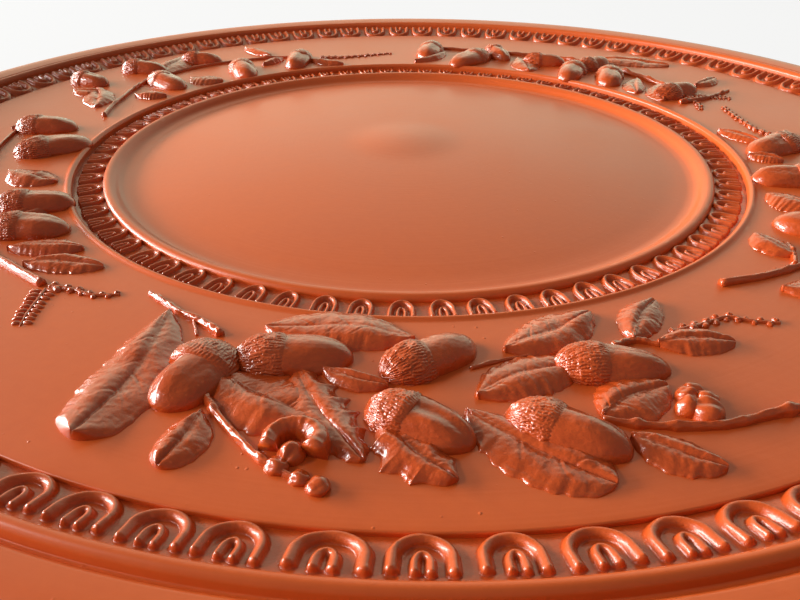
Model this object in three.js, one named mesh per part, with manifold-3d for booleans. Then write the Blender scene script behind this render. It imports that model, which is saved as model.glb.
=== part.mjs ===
// Terra sigillata plate: a wheel-turned plate under red gloss slip, with two bands of
// stamped double arches set in turned channels, and five sprigs of oak luted onto its rim.
// Millimetres, +Z up. The origin is the centre of the foot ring's resting face.
// The front sprig lies towards -Y.

import * as THREE from 'three';
import { mergeVertices } from 'three/addons/utils/BufferGeometryUtils.js';
import Module from 'manifold-3d';

const wasm = await Module();
wasm.setup();

// Whole plate
const PLATE_RADIUS = 200;
const BODY_THICKNESS = 8;
const RIM_THICKNESS = 7;
const TURNED_SIDES = 44;

// Foot ring
const FOOT_RADIUS = 92;
const FOOT_HEIGHT = 12;
const FOOT_WIDTH = 9;
const FOOT_TAPER = 1.5;

// Tondo, the round middle
const LIP_RADIUS = 97.4;
const LIP_WIDTH = 3.4;
const LIP_DROP = 0.3;
const TONDO_DEPTH = 3.2;
const TONDO_DOME = 6;
const WALL_WIDTH = 6;
const BOSS_RADIUS = 16;
const BOSS_RISE = 1.1;

// Channels, ridges and plain rim
const INNER_CHANNEL_WIDTH = 8.9;
const INNER_CHANNEL_DEPTH = 2.8;
const OUTER_CHANNEL_WIDTH = 11.4;
const OUTER_CHANNEL_DEPTH = 1.8;
const OUTER_CHANNEL_RISE = 3;
const INNER_RIDGE_WIDTH = 2.2;
const INNER_RIDGE_RISE = 0.8;
const OUTER_RIDGE_WIDTH = 3.2;
const OUTER_RIDGE_RISE = 4.4;
const RIM_WIDTH = 15.4;
const RIM_GROOVE_WIDTH = 1.4;
const RIM_GROOVE_DEPTH = 1.3;
const RIM_CROWN = 1.1;

// Ovolo bands
const STRIP_THICKNESS = 0.7;
const SEAT_GAP = 0.01;
const OUTER_ARCH_PITCH = 12.8;
const OUTER_ARCH_WIDTH = 9.7;
const OUTER_ARCH_RIDGE = 2;
const OUTER_ARCH_DEPTH = 9.7;
const OUTER_ARCH_RISE = 1.6;
const INNER_ARCH_PITCH = 9.08;
const INNER_ARCH_WIDTH = 4.9;
const INNER_ARCH_RIDGE = 1.3;
const INNER_ARCH_DEPTH = 7.4;
const INNER_ARCH_RISE = 1.3;

// Moulded sprig pieces
const CLEARANCE = 0.3;
const ACORN_LENGTH = 23;
const NUT_WIDTH = 11;
const CUP_WIDTH = 12.6;
const CUP_SHARE = 0.45;
const ACORN_HEIGHT = 5.8;
const LARGE_ACORN = 1.12;
const LEAF_HEIGHT = 2.8;
const LEAF_EDGE = 1.1;
const LEAF_TEETH = 3;
const LEAF_TOOTH = 1.2;
const LARGE_LEAF_WIDTH = 18;
const BROAD_LEAF_WIDTH = 15;
const MIDDLE_LEAF_WIDTH = 13;
const SMALL_LEAF_WIDTH = 9.5;
const FERN_WIDTH = 7;
const STEM_WIDTH = 2.6;
const STEM_HEIGHT = 2.2;
const TWIG_WIDTH = 1.9;
const CATKIN_WIDTH = 3.2;
const CATKIN_BEAD_PITCH = 3.4;
const BUD_WIDTH = 10;
const BUD_HEIGHT = 3.8;
const GALL_WIDTH = 11.5;
const GALL_HEIGHT = 3.8;

// Heights and radii that follow from the sizes above
const floorZ = FOOT_HEIGHT + BODY_THICKNESS + TONDO_DEPTH;
const innerChannelZ = floorZ - INNER_CHANNEL_DEPTH;
const outerChannelZ = floorZ - OUTER_CHANNEL_DEPTH;
const tondoZ = floorZ - TONDO_DEPTH;
const lipZ = floorZ - LIP_DROP;
const ridgeZ = floorZ + OUTER_RIDGE_RISE;
const tondoRadius = LIP_RADIUS - LIP_WIDTH / 2 - WALL_WIDTH;
const innerChannelStart = LIP_RADIUS + LIP_WIDTH / 2;
const innerChannelEnd = innerChannelStart + INNER_CHANNEL_WIDTH;
const floorStart = innerChannelEnd + INNER_RIDGE_WIDTH;
const ridgeEnd = PLATE_RADIUS - RIM_WIDTH;
const outerChannelEnd = ridgeEnd - OUTER_RIDGE_WIDTH;
const floorEnd = outerChannelEnd - OUTER_CHANNEL_WIDTH;

const slipColour = new THREE.Color().setRGB(0.72, 0.27, 0.13, THREE.SRGBColorSpace);
const reliefColour = new THREE.Color().setRGB(0.76, 0.3, 0.15, THREE.SRGBColorSpace);
const footColour = new THREE.Color().setRGB(0.66, 0.27, 0.15, THREE.SRGBColorSpace);

const plate = new THREE.Group();

function material(colour, roughness) {
  return new THREE.MeshStandardMaterial({ color: colour, roughness, metalness: 0 });
}

function addPiece(name, geometry, colour, parent = plate, roughness = 0.32) {
  const mesh = new THREE.Mesh(geometry, material(colour, roughness));
  mesh.name = name;
  parent.add(mesh);
  return mesh;
}

// A closed geometry as a solid that can be joined and cut
function solid(geometry) {
  const bare = geometry.clone();
  bare.deleteAttribute('normal');
  bare.deleteAttribute('uv');
  const merged = mergeVertices(bare, 1e-4);
  const vertProperties = new Float32Array(merged.attributes.position.array);
  const triVerts = new Uint32Array(withoutSlivers(merged.index.array));
  return new wasm.Manifold(new wasm.Mesh({ numProp: 3, vertProperties, triVerts }));
}

// A face that has the same corner twice, as at the axis of a turned form, has no area
function withoutSlivers(index) {
  const kept = [];
  for (let i = 0; i < index.length; i += 3) {
    const [a, b, c] = index.slice(i, i + 3);
    if (a !== b && b !== c && c !== a) {
      kept.push(a, b, c);
    }
  }
  return kept;
}

function geometryOf(body) {
  const { vertProperties, triVerts } = body.getMesh();
  const geometry = new THREE.BufferGeometry();
  geometry.setAttribute('position', new THREE.BufferAttribute(vertProperties, 3));
  geometry.setIndex(new THREE.BufferAttribute(triVerts, 1));
  geometry.computeVertexNormals();
  return geometry;
}

// The largest body of a solid: what a cut leaves on the far side of a piece is trimmed away
function largest(body) {
  const bodies = body.decompose();
  return bodies.reduce((best, next) => (next.volume() > best.volume() ? next : best));
}

// A solid of revolution about Z from a closed list of [radius, height]
function turned(profile, sides = TURNED_SIDES) {
  const points = profile.map(([r, z]) => new THREE.Vector2(r, z));
  const geometry = new THREE.LatheGeometry(points, sides);
  geometry.rotateX(Math.PI / 2);
  return geometry;
}

function turnedSolid(profile, sides) {
  return solid(turned(profile, sides));
}

// A bar that follows stations {x, y, half, rise} over the plane z = base. Its section is a list
// of [share of half width, share of rise] from its left foot over the top to its right foot, and
// a sunk bar's feet go down below the plane, into the clay that it is joined to.
function bar(stations, profile, base, sunk = 0) {
  const positions = [];
  const indices = [];
  const section = sunk ? [[-1, -1], ...profile, [1, -1]] : profile;
  const ring = section.length;
  stations.forEach((station, i) => {
    const before = stations[Math.max(i - 1, 0)];
    const after = stations[Math.min(i + 1, stations.length - 1)];
    const along = new THREE.Vector2(after.x - before.x, after.y - before.y).normalize();
    for (const [across, up] of section) {
      const side = -across * station.half;
      const z = base + (up < 0 ? -sunk : up * station.rise);
      positions.push(station.x - along.y * side, station.y + along.x * side, z);
    }
  });
  for (let i = 0; i < stations.length - 1; i++) {
    for (let j = 0; j < ring; j++) {
      const a = i * ring + j;
      const b = i * ring + ((j + 1) % ring);
      indices.push(a, b, a + ring, b, b + ring, a + ring);
    }
  }
  const last = (stations.length - 1) * ring;
  for (let j = 1; j < ring - 1; j++) {
    indices.push(0, j + 1, j);
    indices.push(last, last + j, last + j + 1);
  }
  const geometry = new THREE.BufferGeometry();
  geometry.setAttribute('position', new THREE.Float32BufferAttribute(positions, 3));
  geometry.setIndex(indices);
  return geometry;
}

const SHARP = [[-1, 0], [0, 1], [1, 0]];
const ROUND = [[-1, 0], [-0.75, 0.65], [0, 1], [0.75, 0.65], [1, 0]];
const FULL = [[-1, 0], [-0.87, 0.55], [-0.35, 0.97], [0.35, 0.97], [0.87, 0.55], [1, 0]];

// Plate body and foot ring

// The tondo is thrown a little higher towards its middle
function domeRise(radius) {
  return TONDO_DOME * (1 - (radius / tondoRadius) ** 2);
}

function plateProfile() {
  const underside = FOOT_HEIGHT;
  const footInside = FOOT_RADIUS - FOOT_WIDTH;
  const shoulder = tondoRadius * 0.6;
  const rimZ = ridgeZ - RIM_GROOVE_DEPTH;
  const rimUnderside = rimZ - RIM_THICKNESS;
  const groove = ridgeEnd + RIM_GROOVE_WIDTH;
  const innerRidgeMiddle = innerChannelEnd + INNER_RIDGE_WIDTH / 2;
  return [
    [0, underside + TONDO_DOME],
    [shoulder, underside + domeRise(shoulder)],
    [footInside, underside],
    [FOOT_RADIUS + FOOT_WIDTH, underside],
    [floorEnd, outerChannelZ - BODY_THICKNESS],
    [PLATE_RADIUS - RIM_THICKNESS / 3, rimUnderside],
    [PLATE_RADIUS, rimUnderside + RIM_THICKNESS / 2],
    [PLATE_RADIUS - RIM_THICKNESS / 4, rimZ],
    [(PLATE_RADIUS + groove) / 2, rimZ + RIM_CROWN],
    [groove, rimZ],
    [ridgeEnd, ridgeZ - RIM_GROOVE_DEPTH],
    [ridgeEnd, ridgeZ - OUTER_RIDGE_WIDTH / 4],
    [ridgeEnd - OUTER_RIDGE_WIDTH / 2, ridgeZ],
    [outerChannelEnd, ridgeZ - OUTER_RIDGE_WIDTH / 3],
    [outerChannelEnd, outerChannelZ + OUTER_CHANNEL_RISE],
    [floorEnd, outerChannelZ],
    [floorEnd, floorZ],
    [floorStart, floorZ],
    [innerRidgeMiddle, floorZ + INNER_RIDGE_RISE],
    [innerChannelEnd, floorZ],
    [innerChannelEnd, innerChannelZ],
    [innerChannelStart, innerChannelZ],
    [innerChannelStart, lipZ - LIP_WIDTH / 4],
    [LIP_RADIUS, lipZ],
    [LIP_RADIUS - LIP_WIDTH / 2, lipZ - LIP_WIDTH / 4],
    [tondoRadius + WALL_WIDTH * 0.45, tondoZ + TONDO_DEPTH * 0.25],
    [tondoRadius, tondoZ],
    [shoulder, tondoZ + domeRise(shoulder)],
    [BOSS_RADIUS, tondoZ + domeRise(BOSS_RADIUS)],
    [BOSS_RADIUS * 0.5, tondoZ + domeRise(BOSS_RADIUS * 0.5) + BOSS_RISE * 0.6],
    [0, tondoZ + TONDO_DOME + BOSS_RISE],
  ];
}

function footProfile() {
  const inner = FOOT_RADIUS - FOOT_WIDTH / 2;
  const outer = FOOT_RADIUS + FOOT_WIDTH / 2;
  return [
    [inner + FOOT_TAPER, 0],
    [outer - FOOT_TAPER, 0],
    [outer, FOOT_HEIGHT * 0.4],
    [outer, FOOT_HEIGHT],
    [inner, FOOT_HEIGHT],
    [inner + FOOT_TAPER, 0],
  ];
}

// Ovolo bands: a strip with a ring of stamped arches, open outwards. The outer one leans: its
// bed climbs from the rim floor to the outer ridge.

const OUTER_OVOLO = {
  start: floorEnd,
  end: outerChannelEnd,
  bed: outerChannelZ,
  climb: OUTER_CHANNEL_RISE,
  pitch: OUTER_ARCH_PITCH,
  width: OUTER_ARCH_WIDTH,
  depth: OUTER_ARCH_DEPTH,
  rise: OUTER_ARCH_RISE,
  ridge: OUTER_ARCH_RIDGE,
  bends: 3,
  withTongue: true,
};

const INNER_OVOLO = {
  start: innerChannelStart,
  end: innerChannelEnd,
  bed: innerChannelZ,
  climb: 0,
  pitch: INNER_ARCH_PITCH,
  width: INNER_ARCH_WIDTH,
  depth: INNER_ARCH_DEPTH,
  rise: INNER_ARCH_RISE,
  ridge: INNER_ARCH_RIDGE,
  bends: 2,
  withTongue: false,
};

function archStations(width, length, bends, rise) {
  const half = width / 2;
  const stations = [{ s: -half, v: length, rise }];
  for (let i = 0; i <= bends; i++) {
    const angle = Math.PI * (1 - (i + 0.4) / (bends + 0.8));
    stations.push({ s: half * Math.cos(angle), v: half - half * Math.sin(angle), rise });
  }
  stations.push({ s: half, v: length, rise });
  return stations;
}

function archAt(angle, startRadius, stations, halfWidth, base) {
  const middle = startRadius + stations[0].v / 2;
  const placed = stations.map(({ s, v, rise }) => {
    const turn = angle + s / middle;
    const radius = startRadius + v;
    return { x: radius * Math.cos(turn), y: radius * Math.sin(turn), half: halfWidth, rise };
  });
  return solid(bar(placed, SHARP, base, STRIP_THICKNESS / 2));
}

// The corner radius of the turned ring whose flat side passes through (x, y)
function sideRadius(x, y) {
  const step = (2 * Math.PI) / TURNED_SIDES;
  const around = Math.atan2(y, x) / step;
  const offMiddle = (around - Math.floor(around) - 0.5) * step;
  return (Math.hypot(x, y) * Math.cos(offMiddle)) / Math.cos(step / 2);
}

function ovoloBand({ start, end, bed, climb, pitch, width, depth, rise, ridge, bends, withTongue }) {
  const inner = start + CLEARANCE;
  const outer = end - CLEARANCE;
  const base = bed + SEAT_GAP;
  const top = base + STRIP_THICKNESS;
  const count = Math.round((Math.PI * (inner + outer)) / pitch);
  const strip = turnedSolid([
    [inner, base],
    [outer, base],
    [outer, top],
    [inner, top],
    [inner, base],
  ]);
  const archStart = inner + ridge / 2;
  const room = outer * Math.cos(Math.PI / TURNED_SIDES) - ridge / 2 - archStart;
  const length = Math.min(depth - ridge / 2, room);
  const stations = archStations(width, length, bends, rise);
  const tongue = [
    { s: 0, v: width / 2, rise: rise * 0.8 },
    { s: 0, v: length, rise: rise * 0.8 },
  ];
  const arches = [];
  for (let i = 0; i < count; i++) {
    const angle = -Math.PI / 2 + (2 * Math.PI * i) / count;
    arches.push(archAt(angle, archStart, stations, ridge / 2, top));
    if (withTongue) {
      arches.push(archAt(angle, archStart, tongue, ridge / 2, top));
    }
  }
  const band = arches.reduce((whole, arch) => whole.add(arch), strip);
  const slope = climb / (end - start);
  return band.warp((point) => {
    point[2] += slope * (sideRadius(point[0], point[1]) - start);
  });
}

// Sprigs. A spot on the rim floor is [degrees from the sprig's middle, share of the way from
// the inner ridge to the outer channel]. A sprig is drawn about +X and turned to its place.

function spot([degrees, across]) {
  const radius = floorStart + across * (floorEnd - floorStart);
  const angle = THREE.MathUtils.degToRad(degrees);
  return new THREE.Vector2(radius * Math.cos(angle), radius * Math.sin(angle));
}

function prism(outline, height) {
  const shape = new THREE.Shape(outline);
  const geometry = new THREE.ExtrudeGeometry(shape, { depth: height, bevelEnabled: false });
  geometry.translate(0, 0, floorZ - 1);
  return solid(geometry);
}

const CUT_HEIGHT = ACORN_HEIGHT + 4;

// A leaf from its base to its tip: domed to a raised midrib, with toothed edges
function leafOutline(from, to, width, grow) {
  const base = spot(from);
  const tip = spot(to);
  const length = base.distanceTo(tip);
  const along = tip.clone().sub(base).normalize();
  const across = new THREE.Vector2(-along.y, along.x);
  const steps = 2 * LEAF_TEETH;
  const rows = [];
  for (let i = 0; i <= steps; i++) {
    const t = i / steps;
    const belly = Math.sin(Math.PI * Math.pow(0.06 + 0.9 * t, 0.85));
    const tooth = i % 2 === 0 && i > 0 && i < steps ? LEAF_TOOTH : 0;
    const half = (width / 2) * belly + tooth - LEAF_TOOTH / 2 + grow;
    const stretch = (length + 2 * grow) * t - grow;
    const middle = base.clone().addScaledVector(along, stretch);
    rows.push({ middle, half: Math.max(half, LEAF_TOOTH / 2 + grow), across });
  }
  return rows;
}

function leafFootprint(leaf) {
  const rows = leafOutline(leaf.from, leaf.to, leaf.width, CLEARANCE);
  const left = rows.map(({ middle, half, across }) => middle.clone().addScaledVector(across, half));
  const right = rows.map(({ middle, half, across }) => middle.clone().addScaledVector(across, -half));
  return prism([...right, ...left.reverse()], CUT_HEIGHT);
}

function leafSolid(leaf) {
  const rows = leafOutline(leaf.from, leaf.to, leaf.width, 0);
  const positions = [];
  const indices = [];
  const ring = 5;
  rows.forEach(({ middle, half, across }, i) => {
    const crown = Math.sin((Math.PI * (i + 0.6)) / (rows.length + 0.2));
    const edge = floorZ + LEAF_EDGE;
    const rib = edge + (LEAF_HEIGHT - LEAF_EDGE) * crown;
    for (const [share, z] of [[-1, floorZ], [-1, edge], [0, rib], [1, edge], [1, floorZ]]) {
      const side = -share * half;
      positions.push(middle.x + across.x * side, middle.y + across.y * side, z);
    }
  });
  for (let i = 0; i < rows.length - 1; i++) {
    for (let j = 0; j < ring; j++) {
      const a = i * ring + j;
      const b = i * ring + ((j + 1) % ring);
      indices.push(a, b, a + ring, b, b + ring, a + ring);
    }
  }
  const last = (rows.length - 1) * ring;
  for (let j = 1; j < ring - 1; j++) {
    indices.push(0, j + 1, j);
    indices.push(last, last + j, last + j + 1);
  }
  const geometry = new THREE.BufferGeometry();
  geometry.setAttribute('position', new THREE.Float32BufferAttribute(positions, 3));
  geometry.setIndex(indices);
  return solid(geometry);
}

// An acorn lies on its side: a rough cup with a step down to a smooth pointed nut
function acornStations(acorn, grow) {
  const length = ACORN_LENGTH * acorn.size;
  const middle = spot(acorn.at);
  const heading = THREE.MathUtils.degToRad(acorn.heading);
  const along = new THREE.Vector2(Math.cos(heading), Math.sin(heading));
  const rim = CUP_SHARE * length;
  const cup = (CUP_WIDTH / 2) * acorn.size;
  const nut = (NUT_WIDTH / 2) * acorn.size;
  const nutLength = length - rim;
  const shape = [
    [0, cup * 0.45],
    [rim * 0.4, cup * 0.92],
    [rim * 0.95, cup],
    [rim + 0.4, nut],
    [rim + nutLength * 0.55, nut * 0.97],
    [rim + nutLength * 0.88, nut * 0.6],
    [length, nut * 0.2],
  ];
  return shape.map(([distance, half], i) => {
    const end = i === 0 ? -grow : i === shape.length - 1 ? grow : 0;
    const place = middle.clone().addScaledVector(along, distance - length / 2 + end);
    return { x: place.x, y: place.y, half: half + grow, rise: (ACORN_HEIGHT * half) / cup };
  });
}

function barOutline(stations) {
  const left = [];
  const right = [];
  stations.forEach((station, i) => {
    const before = stations[Math.max(i - 1, 0)];
    const after = stations[Math.min(i + 1, stations.length - 1)];
    const along = new THREE.Vector2(after.x - before.x, after.y - before.y).normalize();
    left.push(new THREE.Vector2(station.x - along.y * station.half, station.y + along.x * station.half));
    right.push(new THREE.Vector2(station.x + along.y * station.half, station.y - along.x * station.half));
  });
  return [...right, ...left.reverse()];
}

function acornSolid(acorn) {
  return solid(bar(acornStations(acorn, 0), FULL, floorZ));
}

function acornFootprint(acorn) {
  return prism(barOutline(acornStations(acorn, CLEARANCE)), CUT_HEIGHT);
}

// A stem or twig runs through a few spots and thins towards its end
function stemStations(stem, grow) {
  const width = stem.kind === 'stem' ? STEM_WIDTH : TWIG_WIDTH;
  const spots = stem.through.map(spot);
  return spots.map(({ x, y }, i) => {
    const thin = 1 - (0.4 * i) / (spots.length - 1);
    return { x, y, half: (width / 2) * thin + grow, rise: (STEM_HEIGHT * thin * width) / STEM_WIDTH };
  });
}

function stemSolid(stem) {
  return solid(bar(stemStations(stem, 0), ROUND, floorZ));
}

function stemFootprint(stem) {
  return prism(barOutline(stemStations(stem, CLEARANCE)), CUT_HEIGHT);
}

// A catkin is a row of beads on a curved thread
function catkinStations(catkin, grow) {
  const path = new THREE.SplineCurve(catkin.through.map(spot));
  const beads = Math.max(2, Math.round(path.getLength() / CATKIN_BEAD_PITCH));
  const stations = [];
  for (let i = 0; i <= 2 * beads; i++) {
    const t = i / (2 * beads);
    const place = path.getPointAt(t);
    const bead = i % 2 === 1 ? 1 : 0.5;
    const half = (CATKIN_WIDTH / 2) * bead * (1 - 0.35 * t) + grow;
    stations.push({ x: place.x, y: place.y, half, rise: half * 0.9 });
  }
  return stations;
}

function catkinSolid(catkin) {
  return solid(bar(catkinStations(catkin, 0), SHARP, floorZ));
}

function catkinFootprint(catkin) {
  return prism(barOutline(catkinStations(catkin, CLEARANCE)), CUT_HEIGHT);
}

// A low round lump on the floor, with a cleft or a hole in its top
function lump(at, width, height, hollow) {
  const sides = 10;
  const { x, y } = spot(at);
  const radius = width / 2;
  const profile = [[0, floorZ], [radius, floorZ], [radius * 0.95, floorZ + height * 0.5]];
  if (hollow) {
    profile.push([radius * 0.66, floorZ + height], [radius * 0.4, floorZ + height * 0.9]);
    profile.push([radius * 0.3, floorZ + height * 0.35], [0, floorZ + height * 0.35]);
  } else {
    profile.push([radius * 0.6, floorZ + height * 0.9], [0, floorZ + height]);
  }
  return turnedSolid(profile, sides).translate([x, y, 0]);
}

function budSolid(bud) {
  const body = lump(bud.at, BUD_WIDTH, BUD_HEIGHT, false);
  const { x, y } = spot(bud.at);
  const cleft = new THREE.BoxGeometry(BUD_WIDTH * 2, BUD_WIDTH * 0.12, BUD_HEIGHT * 0.5);
  cleft.rotateZ(THREE.MathUtils.degToRad(bud.heading));
  cleft.translate(x, y, floorZ + BUD_HEIGHT);
  return body.subtract(solid(cleft));
}

function budFootprint(bud) {
  return lump(bud.at, BUD_WIDTH + 2 * CLEARANCE, CUT_HEIGHT, false);
}

function gallSolid(gall) {
  return lump(gall.at, GALL_WIDTH, GALL_HEIGHT, true);
}

function gallFootprint(gall) {
  return lump(gall.at, GALL_WIDTH + 2 * CLEARANCE, CUT_HEIGHT, false);
}

const KINDS = {
  acorn: [acornSolid, acornFootprint],
  leaf: [leafSolid, leafFootprint],
  stem: [stemSolid, stemFootprint],
  twig: [stemSolid, stemFootprint],
  catkin: [catkinSolid, catkinFootprint],
  bud: [budSolid, budFootprint],
  gall: [gallSolid, gallFootprint],
};

const acorn = (at, heading, size = 1) => ({ kind: 'acorn', at, heading, size });
const leaf = (from, to, width) => ({ kind: 'leaf', from, to, width });
const stem = (...through) => ({ kind: 'stem', through });
const twig = (...through) => ({ kind: 'twig', through });
const catkin = (...through) => ({ kind: 'catkin', through });
const bud = (at, heading) => ({ kind: 'bud', at, heading });
const gall = (at) => ({ kind: 'gall', at });

// Each sprig lists its pieces from the top layer down: a lower piece is cut clear of those above.
// A piece made of several forms is one pressing, such as a spray of leaves on a twig.
const FRONT_SPRIG = {
  acorn_1: [acorn([-16.7, 0.49], -25, LARGE_ACORN)],
  acorn_2: [acorn([-9.4, 0.3], 92)],
  acorn_3: [acorn([2.9, 0.28], 111)],
  acorn_4: [acorn([1.4, 0.61], 62), leaf([-1.5, 0.6], [3.6, 0.84], MIDDLE_LEAF_WIDTH)],
  acorn_5: [acorn([11.6, 0.7], 69)],
  acorn_6: [acorn([18.6, 0.41], 88), leaf([5.9, 0.48], [16.2, 0.36], MIDDLE_LEAF_WIDTH)],
  bud: [bud([21.7, 0.64], 20)],
  gall: [gall([-7.1, 0.71])],
  stem: [
    stem([30.5, 0.8], [26, 0.76], [21.7, 0.74], [17.4, 0.68], [14.4, 0.62]),
    leaf([14.6, 0.6], [21.1, 0.53], MIDDLE_LEAF_WIDTH),
  ],
  left_twig: [twig([-18.2, 0.22], [-20.6, 0.18], [-23, 0.16], [-25.5, 0.14], [-30.3, 0.1])],
  catkin: [catkin([26.8, 0.28], [30.5, 0.29], [33.7, 0.3], [35, 0.36], [37, 0.43])],
  middle_leaf: [leaf([-9.1, 0.34], [-2.3, 0.75], MIDDLE_LEAF_WIDTH)],
  lower_twig: [
    twig([-14.6, 0.56], [-13.4, 0.62], [-11.2, 0.69], [-9.2, 0.77], [-7.7, 0.82], [-4.8, 0.87]),
    leaf([-15.4, 0.44], [-5.3, 0.58], LARGE_LEAF_WIDTH),
  ],
  left_leaf: [leaf([-25.4, 0.17], [-21.6, 0.88], LARGE_LEAF_WIDTH)],
  small_leaf: [leaf([-14.3, 0.63], [-14.5, 0.88], SMALL_LEAF_WIDTH)],
  upper_leaf: [leaf([1.4, 0.13], [-14.4, 0.13], BROAD_LEAF_WIDTH)],
  ridge_leaf: [leaf([9.9, 0.23], [21.7, 0.07], MIDDLE_LEAF_WIDTH)],
  right_leaf: [
    twig([19.8, 0.29], [22.5, 0.27], [24.6, 0.33]),
    leaf([24.2, 0.32], [30.6, 0.43], SMALL_LEAF_WIDTH),
    leaf([22.5, 0.27], [29.6, 0.09], SMALL_LEAF_WIDTH),
  ],
  lower_leaf: [leaf([4.9, 0.53], [12.7, 0.9], BROAD_LEAF_WIDTH)],
  end_leaf: [leaf([15.4, 0.71], [19.5, 0.9], SMALL_LEAF_WIDTH)],
};

// The left and right sprigs; the two at the back have the same layouts, laid the other way round
const LEFT_SPRIG = {
  acorn_1: [acorn([12.8, 0.2], 160)],
  acorn_2: [acorn([5, 0.14], 168)],
  acorn_3: [acorn([-18.5, 0.16], 187, LARGE_ACORN)],
  stem: [
    stem([27.6, 0.32], [19.4, 0.37], [11, 0.44], [0, 0.5], [-12, 0.48], [-22, 0.5], [-27.5, 0.53]),
    acorn([-28, 0.36], 159),
  ],
  catkin: [
    catkin([28.6, 0.31], [31.2, 0.26], [33.5, 0.24], [36, 0.17]),
    leaf([28.4, 0.33], [33.2, 0.54], FERN_WIDTH),
  ],
  leaf_1: [leaf([21.8, 0.31], [29, 0.08], SMALL_LEAF_WIDTH)],
  leaf_2: [leaf([16.8, 0.32], [22.6, 0.06], SMALL_LEAF_WIDTH)],
  leaf_3: [leaf([3, 0.6], [15, 0.84], BROAD_LEAF_WIDTH)],
  leaf_4: [leaf([-9, 0.3], [-3.5, 0.04], MIDDLE_LEAF_WIDTH)],
};

const RIGHT_SPRIG = {
  acorn_1: [acorn([-14.6, 0.28], 170)],
  acorn_2: [acorn([1.8, 0.17], 195)],
  acorn_3: [acorn([15, 0.22], 225)],
  stem: [stem([-36, 0.14], [-31.3, 0.21], [-25.9, 0.28], [-16, 0.44], [-4, 0.5], [8, 0.46], [19, 0.36])],
  catkin: [catkin([20.6, 0.3], [25.2, 0.27], [30, 0.29], [36, 0.35])],
  leaf_1: [leaf([-32, 0.31], [-24, 0.6], MIDDLE_LEAF_WIDTH)],
  leaf_2: [leaf([-23.6, 0.24], [-20.6, 0.05], SMALL_LEAF_WIDTH)],
  leaf_3: [leaf([-12, 0.58], [-1, 0.86], BROAD_LEAF_WIDTH)],
  leaf_4: [leaf([-9.4, 0.26], [-5.6, 0.04], MIDDLE_LEAF_WIDTH)],
};

const flipForm = (form) => ({
  ...form,
  ...(form.at && { at: [-form.at[0], form.at[1]] }),
  ...(form.from && { from: [-form.from[0], form.from[1]], to: [-form.to[0], form.to[1]] }),
  ...(form.through && { through: form.through.map(([degrees, across]) => [-degrees, across]) }),
  ...(form.heading !== undefined && { heading: -form.heading }),
});

function flipped(sprig) {
  return Object.fromEntries(Object.entries(sprig).map(([name, forms]) => [name, forms.map(flipForm)]));
}

const SPRIGS = {
  front: { azimuth: 270, pieces: FRONT_SPRIG },
  left: { azimuth: 201, pieces: LEFT_SPRIG },
  back_left: { azimuth: 129, pieces: flipped(RIGHT_SPRIG) },
  back_right: { azimuth: 57, pieces: flipped(LEFT_SPRIG) },
  right: { azimuth: 345, pieces: RIGHT_SPRIG },
};

// The rim floor between its two ridges, as the room that a sprig may fill
const floorRoom = turnedSolid([
  [floorStart + CLEARANCE, floorZ - 1],
  [floorEnd - CLEARANCE, floorZ - 1],
  [floorEnd - CLEARANCE, floorZ + CUT_HEIGHT],
  [floorStart + CLEARANCE, floorZ + CUT_HEIGHT],
  [floorStart + CLEARANCE, floorZ - 1],
]);

function addSprig(name, { azimuth, pieces }) {
  const sprig = new THREE.Group();
  sprig.rotation.z = THREE.MathUtils.degToRad(azimuth);
  plate.add(sprig);
  const above = [];
  for (const [pieceName, forms] of Object.entries(pieces)) {
    const pressed = forms.map((form) => KINDS[form.kind][0](form));
    let body = pressed.reduce((whole, form) => whole.add(form)).intersect(floorRoom);
    for (const footprint of above) {
      body = body.subtract(footprint);
    }
    addPiece(`${name}_${pieceName}`, geometryOf(largest(body)), reliefColour, sprig);
    above.push(...forms.map((form) => KINDS[form.kind][1](form)));
  }
}

addPiece('plate_body', geometryOf(turnedSolid(plateProfile())), slipColour);
addPiece('foot_ring', geometryOf(turnedSolid(footProfile())), footColour, plate, 0.6);
addPiece('outer_ovolo_band', geometryOf(ovoloBand(OUTER_OVOLO)), reliefColour);
addPiece('inner_ovolo_band', geometryOf(ovoloBand(INNER_OVOLO)), reliefColour);
for (const [name, sprig] of Object.entries(SPRIGS)) {
  addSprig(name, sprig);
}

export default plate;
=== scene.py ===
"""A terra sigillata plate: turned body, stamped ovolo bands and luted oak sprigs under gloss slip.

Sizes are in millimetres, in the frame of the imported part: +Z up, origin under the middle of
the foot ring, the front sprig towards -Y. Meshes are written in metres.
"""

import math

import bmesh
import bpy
import numpy as np
from mathutils import Matrix, Vector


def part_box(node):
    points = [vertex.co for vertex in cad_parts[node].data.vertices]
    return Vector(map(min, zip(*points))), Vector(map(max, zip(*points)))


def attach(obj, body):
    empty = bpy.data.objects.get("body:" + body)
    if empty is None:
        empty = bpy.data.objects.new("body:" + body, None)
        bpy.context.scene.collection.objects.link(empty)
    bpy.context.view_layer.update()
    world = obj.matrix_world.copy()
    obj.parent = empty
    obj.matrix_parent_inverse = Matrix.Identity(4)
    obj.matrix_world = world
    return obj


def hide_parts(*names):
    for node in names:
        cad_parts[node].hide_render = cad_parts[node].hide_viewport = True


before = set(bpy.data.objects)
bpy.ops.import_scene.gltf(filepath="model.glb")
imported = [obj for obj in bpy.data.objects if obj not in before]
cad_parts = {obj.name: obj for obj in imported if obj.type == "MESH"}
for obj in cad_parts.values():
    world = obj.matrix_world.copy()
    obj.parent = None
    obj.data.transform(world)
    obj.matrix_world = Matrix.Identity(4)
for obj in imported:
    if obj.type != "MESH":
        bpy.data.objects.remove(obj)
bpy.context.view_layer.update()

MM = 0.001

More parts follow.
